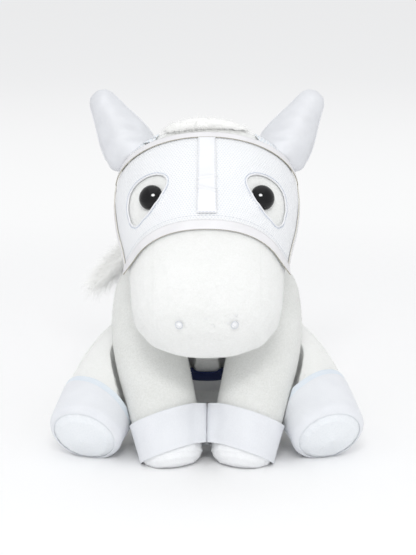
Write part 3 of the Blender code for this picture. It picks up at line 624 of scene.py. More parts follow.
def even_out(piece, cell):
    """Gives a piece a mesh of even faces, each about as wide as the cell."""
    remesh = piece.modifiers.new("even", "REMESH")
    remesh.mode, remesh.voxel_size, remesh.use_smooth_shade = "VOXEL", cell, True
    return settle(piece)


def search_tree(meshes):
    """A search tree over the faces of some meshes."""
    verts, faces = [], []
    for mesh in meshes:
        base = len(verts)
        verts += [v.co.copy() for v in mesh.vertices]
        faces += [tuple(base + i for i in p.vertices) for p in mesh.polygons]
    return BVHTree.FromPolygons(verts, faces)


def solid_of(*nodes):
    """A search tree over the nodes' own solids."""
    return search_tree(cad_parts[node].data for node in nodes)


def bare_tree(*names):
    """A search tree over the plain sheets of pieces, before their thickness."""
    return search_tree(bpy.data.objects[name].data for name in names)


def surface_tree(*pieces):
    """A search tree over pieces as they look with their modifiers."""
    graph = bpy.context.evaluated_depsgraph_get()
    return search_tree(piece.evaluated_get(graph).to_mesh() for piece in pieces)


# %% [markdown]
# ## Filling the skins
# A stuffed skin isn't the plain form: the filling pushes it out between its seams. Each skin starts
# from its plain form, or from its own solid where limbs have rooms in it. It is remeshed to even
# faces, drawn in a little and blown up again as cloth by a light pressure, and no point may move
# further than a cap. Then each point that has left its solid is tucked back to it, so the skin keeps
# the room that the limbs need to swing.

# %% Stuff the skins
skins = []
filling_frames = 20


def stuffed(name, form, nodes, body, finish, fill, cell=0.0032, drawn_in=0.0016, short=0.0010,
            own=False, **part):
    """A skin for a stuffed node, ready to be filled. It stays short of its form by the pile's height.

    It starts from the plain form, or from the node's own solid with the rooms of its limbs.
    """
    if own:
        start = bmesh.new()
        start.from_mesh(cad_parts[nodes[0]].data)
        bmesh.ops.remove_doubles(start, verts=start.verts, dist=weld)
    else:
        start = full_form(form, **part)
    piece = even_out(as_object(name, start, finish), cell)
    with opened(piece) as skin:
        relax(skin, skin.verts)
        skin.normal_update()
        for vert in skin.verts:
            vert.co -= vert.normal * drawn_in
    skins.append((piece, form, nodes, body, fill, drawn_in, short))


def fill_skins(cap_share=1.35, pressure=4, stiffness=12):
    """Blows all the skins up together as cloth, within their caps."""
    starts = {}
    for piece, *_, drawn_in, _ in skins:
        starts[piece.name] = np.array([v.co for v in piece.data.vertices])
        cloth = piece.modifiers.new("filling", "CLOTH")
        cloth.settings.quality = 4
        cloth.settings.use_pressure = True
        cloth.settings.uniform_pressure_force = pressure
        cloth.settings.effector_weights.gravity = 0
        cloth.settings.tension_stiffness = cloth.settings.compression_stiffness = stiffness
        cloth.point_cache.frame_start, cloth.point_cache.frame_end = 1, filling_frames
    for step in range(1, filling_frames + 1):
        scene.frame_set(step)
    for piece, *_, drawn_in, _ in skins:
        settle(piece)
        moved = np.array([v.co for v in piece.data.vertices])
        travel = moved - starts[piece.name]
        length = np.linalg.norm(travel, axis=1, keepdims=True)
        cap = drawn_in * cap_share
        travel *= np.minimum(1.0, cap / np.maximum(length, 1e-9))
        piece.data.vertices.foreach_set("co", (starts[piece.name] + travel).ravel())
        piece.data.update()
        swelling, kept = float(length.max()) * 1000, cap * 1000
        print(piece.name, "swelled by up to", round(swelling, 2), "mm, kept to", round(kept, 2))
    scene.frame_set(1)


def fill_out(piece, form, nodes, shortfall, reach=0.006, off_wall=0.0004, wall_reach=0.004):
    """Pushes out each point that has stayed too far inside the full form.

    Beside a limb's room it is only pushed out to the room's wall.
    """
    full = full_form(form, sides=96, rings=80)
    tree, solid = BVHTree.FromBMesh(full), solid_of(*nodes)
    for vert in piece.data.vertices:
        near, normal, _, _ = tree.find_nearest(vert.co)
        if shortfall < (near - vert.co).dot(normal) < reach:
            target = near - normal * shortfall
            wall, outward, _, _ = solid.find_nearest(target)
            if (target - wall).dot(outward) > 0.0003:
                wall, outward, _, _ = solid.find_nearest(vert.co)
                depth = (wall - vert.co).dot(outward)
                target = wall - outward * off_wall if off_wall < depth < wall_reach else vert.co
            vert.co = target
    full.free()


def tuck(piece, nodes, allowance, far=0.0002):
    """Brings back each point that stands outside its solid, and names those that came far."""
    tree, moved = solid_of(*nodes), []
    for vert in piece.data.vertices:
        near, normal, _, _ = tree.find_nearest(vert.co)
        outside = (vert.co - near).dot(normal)
        if outside > allowance:
            vert.co = near + normal * allowance
        if outside > allowance + far:
            moved.append(vert.index)
        vert.co.z = max(vert.co.z, 0.0)
    return moved


def soften(piece, chosen=None, rounds=1):
    """Smooths a mesh, or only the chosen points and their neighbours."""
    with opened(piece) as skin:
        skin.verts.ensure_lookup_table()
        verts = skin.verts
        if chosen is not None:
            near = {skin.verts[index] for index in chosen}
            verts = list(near | {edge.other_vert(vert) for vert in near for edge in vert.link_edges})
        relax(skin, verts, rounds if verts else 0)


def finish_skins(allowance=-0.0003):
    """Brings the filled skins to their final form and hands them to the frame."""
    for piece, form, nodes, body, fill, _, short in skins:
        fill_out(piece, form, nodes, short)
        moved = tuck(piece, nodes, allowance)
        soften(piece, moved, 4)
        soften(piece)
        settle(subdivide(piece))
        fill_out(piece, form, nodes, short)
        for _ in range(2):
            soften(piece, tuck(piece, nodes, allowance), 3)
        tuck(piece, nodes, allowance)
        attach(piece, body)
        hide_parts(nodes[0])
        print(piece.name, len(piece.data.polygons), "faces,", len(moved), "points tucked in")


stuffed("torso_skin", torso_shape, ["torso"], "torso_body", body_plush, 0.9, 0.0024, 0.0012, own=True)
stuffed("neck_skin", neck_form(), ["neck"], "torso_body", body_plush, 0.9)
stuffed("head_skin", head_shape, ["head"], "head_body", face_plush, 0.95, 0.0026, 0.0012, 0.0007)
for side_name, side in both_sides:
    legs = {
        # The front legs take the darker plush, which is painted shade, and their soles the lighter one,
        # which is painted light.
        "front": (front_leg_form(side), 0.0070, leg_plush_painted_shade, tread_plush_painted_light),
        "hind": (hind_leg_form(side), 0.0, body_plush, sole_plush),
    }
    for kind, (form, under_cuff, upper_plush, lower_plush) in legs.items():
        leg, sole = f"{kind}_leg_{side_name}", f"{kind}_sole_{side_name}"
        leg_skin, sole_skin = f"{kind}_leg_skin_{side_name}", f"{kind}_sole_skin_{side_name}"
        sole_from = form.length - sole_seams[kind] - under_cuff
        stuffed(leg_skin, form, [leg], f"{leg}_body", upper_plush, 0.9, last=sole_from - 0.0003)
        stuffed(sole_skin, form, [sole, leg], f"{leg}_body", lower_plush, 0.8, 0.0016, 0.0008, 0.0002,
                first=sole_from)
    padding, ear_body = f"ear_padding_{side_name}", f"ear_{side_name}_body"
    stuffed(padding, ear_form(side), [f"ear_{side_name}"], ear_body, body_plush, 0.7, 0.0022, 0.0008)
fill_skins()
finish_skins()

# %% [markdown]
# ## Tools for worn cloth
# Cloth has an edge, so a cut sheet is given its thickness outwards and a second finish on its rim.
# A cord of piping is a curve with a round section, made a mesh. Where a cloth comes near another
# body's skin, it is pushed clear of it, as the real cloth would be.

# %% Helpers for cloth and piping
def thicken(piece, thickness, rim_material=None):
    wall = piece.modifiers.new("thickness", "SOLIDIFY")
    wall.thickness = thickness
    wall.offset = 1.0
    wall.use_even_offset = False
    if rim_material:
        piece.data.materials.append(rim_material)
        wall.material_offset_rim = len(piece.data.materials) - 1
    return piece


def worn(piece, body, *nodes):
    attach(piece, body)
    if nodes:
        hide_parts(*nodes)
    print(piece.name, len(piece.data.polygons), "faces")
    return piece


def piping(name, points, radius, material, closed=False, sides=3):
    """A thin round cord through the given points, as a mesh."""
    line = bpy.data.curves.new(name, "CURVE")
    line.dimensions = "3D"
    line.bevel_depth, line.bevel_resolution = radius, sides
    line.use_fill_caps = True
    run = line.splines.new("POLY")
    run.points.add(len(points) - 1)
    for spot, point in zip(run.points, points):
        spot.co = (*point, 1)
    run.use_cyclic_u = closed
    cord = bpy.data.objects.new(name, line)
    scene.collection.objects.link(cord)
    bpy.context.view_layer.update()
    mesh = bpy.data.meshes.new_from_object(cord.evaluated_get(bpy.context.evaluated_depsgraph_get()))
    bpy.data.objects.remove(cord)
    mesh.name = name
    mesh.shade_smooth()
    mesh.materials.append(material)
    made = bpy.data.objects.new(name, mesh)
    scene.collection.objects.link(made)
    return made


above_floor = 0.0003


def keep_clear(piece, tree, gap):
    """Pushes the points that are in or too near a neighbour out to a gap from it."""
    for vert in piece.data.vertices:
        near, normal, _, distance = tree.find_nearest(vert.co)
        if distance < 0.02:
            outside = (vert.co - near).dot(normal)
            if outside < gap:
                vert.co = near + normal * gap
        vert.co.z = max(vert.co.z, above_floor)


# %% [markdown]
# ## Cuffs and hems
# Each leg ends in a sleeve of smooth brushed cloth, sewn over the plush just above the hoof. The
# front cuffs slant down to the outside, so more of the sole shows on the inner side, and the two
# touch in the middle. The hind cuffs turn in round the sole's rim and have a second, pale blue hem.
# A sleeve is a wrapped grid with a thickness, and a turned edge rolls its rims. The hind legs lie
# against the front ones, so their skins and cuffs bulge inwards until they meet them.

# %% Make the cuffs and hems
def sleeve(name, form, along_range, lift, thickness, material, rolls=(0.0003, 0.0003), slants=(0, 0)):
    """A closed sleeve. Each of its two edges rolls outwards, or inwards where its roll is negative."""
    span = along_range[1] - along_range[0]

    def rolled(down, around):
        waves = math.sin(around * math.tau * 5 + 1) * 0.00015 + math.sin(around * math.tau * 9) * 0.0001
        if rolls[1] < 0:
            waves *= min((1 - down) * span / 0.006, 1)
        edges = zip(rolls, (down * span, (1 - down) * span))
        return waves + sum(roll * math.exp(-((edge / 0.0014) ** 2)) for roll, edge in edges)

    cloth = close_up(wrap(form, along_range, (0, math.tau), (26, 72), lift, raised=rolled, slants=slants))
    piece = thicken(as_object(name, cloth, material), thickness)
    rim = piece.modifiers.new("soft_rim", "BEVEL")
    rim.width, rim.segments = thickness * 0.45, 2
    rim.limit_method, rim.angle_limit = "ANGLE", math.radians(50)
    return piece


def stay_clear(piece, side_gap=0.0004):
    """Keeps a cuff above the floor and on its own side of the middle."""
    side = math.copysign(1, piece.data.vertices[0].co.x)
    for vert in piece.data.vertices:
        vert.co.z = max(vert.co.z, above_floor)
        vert.co.x = side * max(vert.co.x * side, side_gap)


for side_name, side in both_sides:
    form, body = front_leg_form(side), f"front_leg_{side_name}_body"
    seam = form.length - sole_seams["front"]
    edges, slants = (seam - 0.0285, seam - 0.0016), (0.0024 * side, 0.0037 * side)
    cuff = sleeve(f"front_cuff_cloth_{side_name}", form, edges, 0.0003, 0.0009, cuff_cloth, slants=slants)
    reach, squeeze = 0.0090, 0.0115
    for vert in cuff.data.vertices:
        inward = max((reach - vert.co.x * side) / reach, 0)
        vert.co.x -= side * squeeze * inward
    stay_clear(cuff, 0.0010)
    worn(cuff, body, f"front_cuff_{side_name}")
    flat = (math.tau * form.sizes[0] * 0.95, edges[1] - edges[0])

hind_tops = {"right": 0.0205, "left": 0.0270}


def press_inward(piece, side, bulge=0.0046, middle=0.58, spread=0.24):
    """The hind leg bulges towards the front leg that rests against it."""
    form = hind_leg_form(side)
    axis = (form.end - form.start).normalized()
    for vert in piece.data.vertices:
        share = (vert.co - form.start).dot(axis) / form.length
        inner = max(-(vert.co - form.spine(share * form.length)).normalized().x * side, 0)
        vert.co.x -= side * bulge * inner**1.2 * math.exp(-(((share - middle) / spread) ** 4))


for side_name, side in both_sides:
    form, body = hind_leg_form(side), f"hind_leg_{side_name}_body"
    seam, slant = form.length - sole_seams["hind"], -0.0075 * side
    top, foot = seam - hind_tops[side_name], seam + 0.0042
    cuff = sleeve(
        f"hind_cuff_cloth_{side_name}", form, (top, foot), 0.0002, 0.0008, cuff_cloth, (0.0002, -0.0007),
        (slant, 0),
    )
    hem = sleeve(
        f"hind_hem_cloth_{side_name}", form, (top - 0.0046, top + 0.0008), 0.0001, 0.0006, hem_cloth,
        (0.0001, 0.0001), (slant, slant),
    )
    front_pieces = [f"{part}_{side_name}" for part in ("front_leg_skin", "front_cuff_cloth")]
    near = surface_tree(*(bpy.data.objects[name] for name in front_pieces))
    leg_skin = f"hind_leg_skin_{side_name}"
    for piece, gap in ((cuff, 0.0012), (hem, 0.0012), (bpy.data.objects[leg_skin], 0.0017)):
        press_inward(piece, side)
        keep_clear(piece, near, gap)
        stay_clear(piece)
    worn(cuff, body, f"hind_cuff_{side_name}")
    math.tau * form.sizes[0] * 0.95
    foot - top
    worn(hem, body, f"hind_hem_{side_name}")
    flat = (math.tau * form.sizes[0], 0.0102)
    flat[0] * 0.0054

# %% [markdown]
# ## Ears
# A padded ear is hidden in a smooth cover, which is the mask's own ear. The cover is a little larger
# than the padding, closed at the tip and open over the head. Its two panels meet in a sewn edge on
# each side, which is made as a thin cord of piping.

# %% Make the ear covers
for side_name, side in both_sides:
    form, body = ear_form(side), f"ear_{side_name}_body"
    cover_data = full_form(form, sides=48, rings=40, lift=0.0013)
    cover = as_object(f"ear_cover_skin_{side_name}", cover_data, ear_leather_painted_shade)
    for vert in cover.data.vertices:
        along = (vert.co - form.start).dot((form.end - form.start).normalized())
        across = (vert.co - form.spine(along)).dot(form.directions(along)[0]) * side
        low_fold = ((along - 0.020 - across * 0.5) / 0.0030) ** 2 + ((across + 0.006) / 0.009) ** 2
        high_fold = ((along - 0.032 - across * 0.8) / 0.0040) ** 2 + ((across + 0.010) / 0.007) ** 2
        vert.co += form.directions(along)[1] * 0.0009 * (math.exp(-low_fold) + 0.7 * math.exp(-high_fold))
    tuck(cover, [f"ear_cover_{side_name}"], 0.0003)
    subdivide(cover)
    worn(cover, body, f"ear_cover_{side_name}")
    inner, outer = (math.pi, 0.0) if side > 0 else (0.0, math.pi)
    tree = surface_tree(cover)
    for edge_name, angle in (("inner", inner), ("outer", outer)):
        points = []
        for step in range(40):
            along = 0.014 + (form.length - 0.0145) * step / 39
            near, normal, _, _ = tree.find_nearest(form.point(along, angle, 0.0016))
            points.append(near + normal * 0.0001)
        for _ in range(8):
            middles = [(a + b * 2 + c) / 4 for a, b, c in zip(points, points[1:], points[2:])]
            points = points[:1] + middles + points[-1:]
        seam = piping(f"ear_seam_{edge_name}_{side_name}", points, 0.00038, ear_leather_painted_shade)
        worn(seam, body)

# %% [markdown]
# ## The mask panel
# The mask is one sheet of knit, stretched over the face. Its eye holes aren't round: the lower inner
# edge of each hole is cut almost straight, and it passes over the eye. So the sheet is laid on the
# face and let relax over the eye's dome as a stretched membrane. Then its hole is cut along an
# outline as seen from the front, and it relaxes again, now with a free edge that hangs on the dome.

# %% Find the eyes
def eye_seat(side):
    """The middle of an eye on the face and its outward direction."""
    angle = math.radians(eye_turn) if side > 0 else math.radians(180 - eye_turn)
    turn, step = math.radians(3), head_shape.length / 60
    seat = head_shape.point(eye_along, angle)
    across = head_shape.point(eye_along, angle + turn) - head_shape.point(eye_along, angle - turn)
    forward = head_shape.point(eye_along + step, angle) - head_shape.point(eye_along - step, angle)
    outward = across.cross(forward).normalized()
    if outward.dot(seat - head_shape.spine(eye_along)) < 0:
        outward.negate()
    return seat, outward


eyes = {side: eye_seat(side) for _, side in both_sides}
sight = Vector((0, -math.cos(camera_rise), math.sin(camera_rise)))
upward = Vector((0, math.sin(camera_rise), math.cos(camera_rise)))
hole_middle = (-0.0041, -0.0021)
hole_outline = (
    (-173.5, 0.0126), (-138.0, 0.0158), (-124.0, 0.0184), (-116.0, 0.0190), (-108.0, 0.0182),
    (-95.0, 0.0125), (-69.5, 0.0085), (-42.0, 0.0071), (-13.4, 0.0078), (20.8, 0.0122), (41.7, 0.0200),
    (51.6, 0.0213), (63.4, 0.0203), (83.0, 0.0174), (100.8, 0.0152), (124.0, 0.0134), (149.0, 0.0124),
)
before = tuple((turn - 360, reach) for turn, reach in hole_outline[-2:])
beyond = tuple((turn + 360, reach) for turn, reach in hole_outline[:2])
hole_table = before + hole_outline + beyond


def hole_reach(turn):
    """How far the hole's edge is from its middle, at an angle in degrees."""
    return smooth_value(hole_table, turn, 1)


def hole_place(point, side):
    """A point's distance from a hole's middle and its angle there, as seen from the front."""
    seat, _ = eyes[side]
    across = (point.x - seat.x) * -side - hole_middle[0]
    up = (point - seat).dot(upward) - hole_middle[1]
    return math.hypot(across, up), math.degrees(math.atan2(up, across))


# %% Lay the mask panel
lift_of_mask = 0.0007
panel_from, panel_to, droop = 0.0400, 0.1048, 0.0160
panel_turn = (math.radians(5), math.radians(175))
panel = wrap(head_shape, (panel_from, panel_to), panel_turn, (84, 176), lift_of_mask, (0, droop))
print("panel:", len(panel.faces), "faces")


def over_eye(point, side, clear=0.0005):
    """How far a point must rise to clear the eye's dome."""
    seat, outward = eyes[side]
    radius, height = eye_radius + clear, eye_height + clear
    offset = point - seat
    up = offset.dot(outward)
    flat = (offset - outward * up).length
    if flat >= radius:
        return 0.0
    return max(height * math.sqrt(1 - (flat / radius) ** 2) - up, 0.0)


def tent(ground, side, rounds=70, hold=0.985):
    """Lets the sheet relax over an eye: each point hangs from its neighbours but stays off the dome."""
    outward = eyes[side][1]
    walls = {vert: over_eye(at, side) for vert, at in ground.items()}
    beside = {vert: [edge.other_vert(vert) for edge in vert.link_edges] for vert in ground}
    heights = dict(walls)
    for _ in range(rounds):
        for vert, others in beside.items():
            mean = sum(heights.get(other, 0.0) for other in others) / len(others)
            heights[vert] = max(walls[vert], hold * mean)
    for vert, at in ground.items():
        vert.co = at + outward * heights[vert]


def seen_shift(point, side, scale):
    """Moves a point away from its hole's middle, across the line of sight only."""
    middle = eyes[side][0] - Vector((side * hole_middle[0], 0, 0)) + upward * hole_middle[1]
    offset = point - middle
    return (offset - sight * offset.dot(sight)) * (scale - 1)


for _, side in both_sides:
    seat = eyes[side][0]
    ground = {v: v.co.copy() for v in panel.verts if v.co.x * side > 0 and (v.co - seat).length < 0.024}
    tent(ground, side)
    for vert, at in ground.items():
        reach, turn = hole_place(vert.co, side)
        edge = hole_reach(turn)
        if abs(reach - edge) < 0.00052:
            ground[vert] = at + seen_shift(vert.co, side, edge / reach)
    tent(ground, side)
    inside = []
    for face in panel.faces:
        centre = face.calc_center_median()
        if centre.x * side > 0:
            reach, turn = hole_place(centre, side)
            if reach < hole_reach(turn):
                inside.append(face)
    bmesh.ops.delete(panel, geom=inside, context="FACES")
    tent({vert: at for vert, at in ground.items() if vert.is_valid and vert.link_edges}, side)

# %% Follow the edges of the eye holes
def edge_loops(mesh):
    """The open edges of a mesh as ordered loops of points. They come in the mesh's own order."""
    left = dict.fromkeys(edge for edge in mesh.edges if edge.is_boundary)
    loops = []
    while left:
        edge = next(iter(left))
        del left[edge]
        first, spot = edge.verts
        loop = [first, spot]
        while True:
            following = next((e for e in spot.link_edges if e in left), None)
            if following is None:
                break
            del left[following]
            spot = following.other_vert(spot)
            if spot is first:
                break
            loop.append(spot)
        loops.append(loop)
    return loops


hole_edges = {}
for loop in edge_loops(panel):
    middle = sum((v.co for v in loop), Vector()) / len(loop)
    for _, side in both_sides:
        if (middle - eyes[side][0]).length < 0.012 and len(loop) > 30:
            points = [vert.co.copy() for vert in loop]
            for _ in range(6):
                shifted = points[1:] + points[:1]
                points = [(points[i - 1] + points[i] * 2 + shifted[i]) / 4 for i in range(len(points))]
                for number, point in enumerate(points):
                    point = point + eyes[side][1] * over_eye(point, side)
                    reach, turn = hole_place(point, side)
                    points[number] = point + seen_shift(point, side, hole_reach(turn) / reach)
            for vert, point in zip(loop, points):
                vert.co = point
            hole_edges[side] = [vert.co.copy() for vert in loop]
print("eye hole edges:", {side: len(points) for side, points in hole_edges.items()})
mask_panel = thicken(as_object("mask_panel_knit", panel, mask_knit), 0.0006, mask_knit)
worn(mask_panel, "head_body", "mask_panel")

# %% [markdown]
# ## Bands, straps and rims of the mask
# The bands are strips of leatherette, cut straight, so their tan backing shows on the cut edge, which
# is painted darker too, as the shade under the band's edge; the side trims' cut edge is a paler tan,
# darkened in the same way. The nose band stands off the muzzle at its two ends. A strap runs down the
# middle of the face, with a stitched edge on each side and two small folds where it has crept. A thin
# rolled rim is stitched round each eye hole.

# %% Make the bands and straps
def strip(name, along_range, degrees, grid, lift, thickness, material, rim, droops=(0, 0), raised=None):
    angles = tuple(math.radians(value) for value in degrees)
    cloth = close_up(wrap(head_shape, along_range, angles, grid, lift, droops, raised), 0.000005)
    return thicken(as_object(name, cloth, material), thickness, rim)


band_leather = leatherette("band_leather", (0.840, 0.835, 0.850), (0.805, 0.800, 0.815))
strap_cloth = leatherette("strap_cloth", (0.880, 0.888, 0.905), (0.850, 0.858, 0.878))


def stand_off(down, around):
    """The nose band leaves the muzzle near its ends."""
    end = min(around, 1 - around)
    return (0.0004 + 0.0016 * down) * (1 - min(end / 0.16, 1)) ** 1.5


def creep(down, around):
    """The middle strap's two folds, a little askew."""
    folds = math.exp(-(((down - 0.545 - around * 0.03) / 0.016) ** 2))
    folds += math.exp(-(((down - 0.735 + around * 0.06) / 0.014) ** 2))
    return 0.0012 * folds


brow = strip(
    "brow_band_leather", (0.0360, 0.0404), (8, 172), (7, 150), 0.0014, 0.0008, band_leather, cut_edge_backing_and_shade,
    (-0.0035, 0.0008),
)
nose = strip(
    "nose_band_leather", (0.1036, 0.1106), (3, 177), (7, 170), 0.0008, 0.0008, band_leather, cut_edge_backing_and_shade,
    (0.016, 0.016), stand_off,
)
strap = strip(
    "centre_strap_cloth", (0.0407, 0.0990), (85.2, 94.8), (90, 16), 0.0016, 0.0006, strap_cloth,
    strap_cloth, raised=creep,
)
for piece, node in ((brow, "brow_band"), (nose, "nose_band"), (strap, "centre_strap")):
    worn(piece, "head_body", node)
for side_name, side in both_sides:
    angles = (3, 8) if side > 0 else (172, 177)
    trim = strip(
        f"side_trim_leather_{side_name}", (0.0404, 0.1036), angles, (70, 8), 0.0011, 0.0008, band_leather,
        trim_edge_backing_and_shade, (0, 0.016),
    )
    worn(trim, "head_body", f"side_trim_{side_name}")
    rim = piping(f"eye_rim_{side_name}", hole_edges[side], 0.00060, white_thread, closed=True)
    worn(rim, "head_body", f"eye_trim_{side_name}")

# %% [markdown]
# ## Stitches
# A stitch is a short bump of thread that dips into the cloth at both ends. One stitch is a small
# rounded bar. It is made once from a cube with its edges bevelled, and copies of it are set along a
# line: round each eye hole, along the edges of the middle strap and above the nose band.

# %% Sew the stitches
def one_stitch(length, width):
    """A rounded bar along X, as points and faces."""
    bar = bmesh.new()
    bmesh.ops.create_cube(bar, size=1)
    bmesh.ops.scale(bar, vec=(length, width, width * 0.8), verts=bar.verts)
    bmesh.ops.bevel(
        bar, geom=bar.edges[:], offset=width * 0.3, segments=1, affect="EDGES", profile=0.5, material=-1
    )
    points = [v.co.copy() for v in bar.verts]
    faces = [[v.index for v in f.verts] for f in bar.faces]
    bar.free()
    return points, faces


def sew(name, points, normals, body, pitch=0.0022, length=0.0015, width=0.00032, material=white_thread):
    """Sets stitches along a line of points, each turned along the line."""
    bar_points, bar_faces = one_stitch(length, width)
    verts, faces, travelled, due = [], [], 0.0, pitch / 2
    for (a, b), normal in zip(zip(points, points[1:]), normals):
        step = (b - a).length
        while travelled + step >= due:
            spot = a.lerp(b, (due - travelled) / max(step, 1e-9))
            run = (b - a).normalized()
            side = normal.cross(run).normalized()
            base = len(verts)
            verts += [spot + run * p.x + side * p.y + normal * p.z for p in bar_points]
            faces += [[base + i for i in face] for face in bar_faces]
            due += pitch
        travelled += step
    return worn(from_points(name, verts, faces, material), body)


def on_cloth(points, tree, rise=0.0002):
    """Sets points on the cloth below them and gives its normals there."""
    set_points, normals = [], []
    for point in points:
        near, normal, _, _ = tree.find_nearest(point)
        if normal.dot(point - head_shape.spine(0.08)) < 0:
            normal = -normal
        set_points.append(near + normal * rise)
        normals.append(normal)
    return set_points, normals


panel_tree = surface_tree(mask_panel)
strap_tree = surface_tree(strap)
for side_name, side in both_sides:
    edge = hole_edges[side]
    middle = sum(edge, Vector()) / len(edge)
    ring = [point + (point - middle).normalized() * 0.0012 for point in edge]
    ring, normals = on_cloth(ring + ring[:1], panel_tree)
    sew(f"eye_hole_stitches_{side_name}", ring, normals, "head_body", 0.0014, 0.0013, 0.00048, rim_thread)
for edge_name, degrees in (("right", 94.1), ("left", 85.9)):
    angle = math.radians(degrees)
    line = [head_shape.point(0.0415 + 0.0570 * step / 60, angle, 0.003) for step in range(61)]
    line, normals = on_cloth(line, strap_tree)
    sew(f"strap_stitches_{edge_name}", line, normals, "head_body", 0.0024, 0.0016, 0.00030, seam_thread)
end_line = [head_shape.point(0.0985, math.radians(85.9 + 8.2 * step / 12), 0.003) for step in range(13)]
end_line, normals = on_cloth(end_line, strap_tree)
sew("strap_end_stitches", end_line, normals, "head_body", 0.0024, 0.0016, 0.00030, rim_thread)
hem_line = []
for step in range(121):
    angle = math.radians(12 + 156 * step / 120)
    hem_line.append(head_shape.point(0.1036 - 0.0030 + 0.016 * sag(angle), angle, 0.003))
hem_line, normals = on_cloth(hem_line, panel_tree)
sew("mask_hem_stitches", hem_line, normals, "head_body", 0.0026, 0.0016, 0.00030, seam_thread)

# %% [markdown]
# ## Mesh at the ears
# Between each ear and the brow band lies a patch of coarser mesh with holes 2.9 mm apart. The part
# of it that would lie in the ear's room is cut away.

# %% Make the ear mesh
for side_name, side in both_sides:
    angles = (30, 55) if side > 0 else (125, 150)
    patch = wrap(head_shape, (0.0225, 0.0358), tuple(math.radians(a) for a in angles), (40, 70), 0.0007)
    near = surface_tree(bpy.data.objects[f"ear_cover_skin_{side_name}"])
    gone = []
    for face in patch.faces:
        centre = face.calc_center_median()
        spot, normal, _, _ = near.find_nearest(centre)
        if (centre - spot).dot(normal) < 0.0004:
            gone.append(face)
    bmesh.ops.delete(patch, geom=gone, context="FACES")
    area = sum(face.calc_area() for face in patch.faces)
    mesh_patch = thicken(as_object(f"ear_mesh_knit_{side_name}", patch, ear_knit), 0.0006, ear_knit)
    worn(mesh_patch, "head_body", f"ear_mesh_{side_name}")

# %% [markdown]
# ## Nostrils
# Each nostril is a round knot of thread. Three ridges of thread lie one in the other, so the knot is
# a profile with three waves, spun round the direction in which it points. A thin grey cord runs round
# it as painted shade: the ring of shadow where the knot sits in a dimple of the plush. A few white
# thread ends lie on the plush between the two.

# %% Make the nostrils
def spun(name, profile, seat, outward, material, steps=28):
    shape = bmesh.new()
    verts = [shape.verts.new((radius, 0, height)) for radius, height in profile]
    edges = [shape.edges.new(pair) for pair in zip(verts, verts[1:])]
    axis = Vector((0, 0, 1))
    bmesh.ops.spin(
        shape, geom=verts + edges, cent=(0, 0, 0), axis=axis, angle=math.tau, steps=steps, use_merge=True
    )
    close_up(shape)
    turn = axis.rotation_difference(outward).to_matrix()
    bmesh.ops.rotate(shape, verts=shape.verts, cent=(0, 0, 0), matrix=turn)
    bmesh.ops.translate(shape, verts=shape.verts, vec=seat)
    return as_object(name, shape, material)


knot_radius, shadow_ring_radius, nostril_along = 0.0021, 0.0026, 0.1695
knot = [(knot_radius, -0.0008), (knot_radius, 0.0001)]
for step in range(13):
    share = step / 12
    ridge = 0.00018 * math.cos(share * math.tau * 2.5)
    knot.append((knot_radius * (1 - share), 0.0004 + 0.0012 * math.sin(share * math.pi / 2) + ridge))
for side_name, side in both_sides:
    angle = math.radians(60) if side > 0 else math.radians(120)
    seat = head_shape.point(nostril_along, angle, 0.0003)
    outward = (seat - head_shape.spine(nostril_along - head_shape.rounds[1])).normalized()
    knot_piece = spun(f"nostril_knot_{side_name}", knot, seat - outward * 0.0001, outward, white_thread)
    worn(knot_piece, "head_body", f"nostril_{side_name}")
    turn = Vector((0, 0, 1)).rotation_difference(outward).to_matrix()
    # Painted shadow: a thin grey cord round the knot stands for the ring of shade where it sits in a dimple
    # of the plush.
    circle = []
    for step in range(32):
        spot = math.tau * step / 32
        around = turn @ Vector((math.cos(spot), math.sin(spot), 0))
        circle.append(seat + around * shadow_ring_radius + outward * 0.0001)
    worn(piping(f"nostril_shadow_ring_{side_name}", circle, 0.00026, seam_thread, closed=True), "head_body")

muzzle_tree = surface_tree(bpy.data.objects["head_skin"])
thread_ends = (
    (0.0005, 0.1700, 0.0015), (-0.0045, 0.1722, 0.0024), (-0.0145, 0.1716, 0.0018),
    (-0.0200, 0.1690, 0.0026),
)
for number, (across, along, length) in enumerate(thread_ends):
    middle = head_shape.point(along, math.radians(90), 0.002) - Vector((across, 0, 0))
    points = []
    for step in range(7):
        share = step / 6
        drift = Vector((share - 0.5, 0, 0.35 * math.sin(share * 4 + number))) * length
        near, normal, _, _ = muzzle_tree.find_nearest(middle + drift)
        points.append(near + normal * (0.0003 + 0.0004 * math.sin(share * math.pi)))
    worn(piping(f"thread_end_{number + 1}", points, 0.00022, white_thread), "head_body")

# %% [markdown]
# ## Girth
# A cloth band runs round the barrel, under the front legs, and its front edge is bound with dark
# tape. It follows the stuffed skin: each point of the band is found by looking outwards from the
# middle of the torso to the skin. Where a leg has its room in the torso the band is taut and bridges
# it, so it goes into the leg's root as if the leg squeezed it.

# %% Make the girth
torso_tree = surface_tree(bpy.data.objects["torso_skin"])
torso_run = torso_shape.end - torso_shape.start


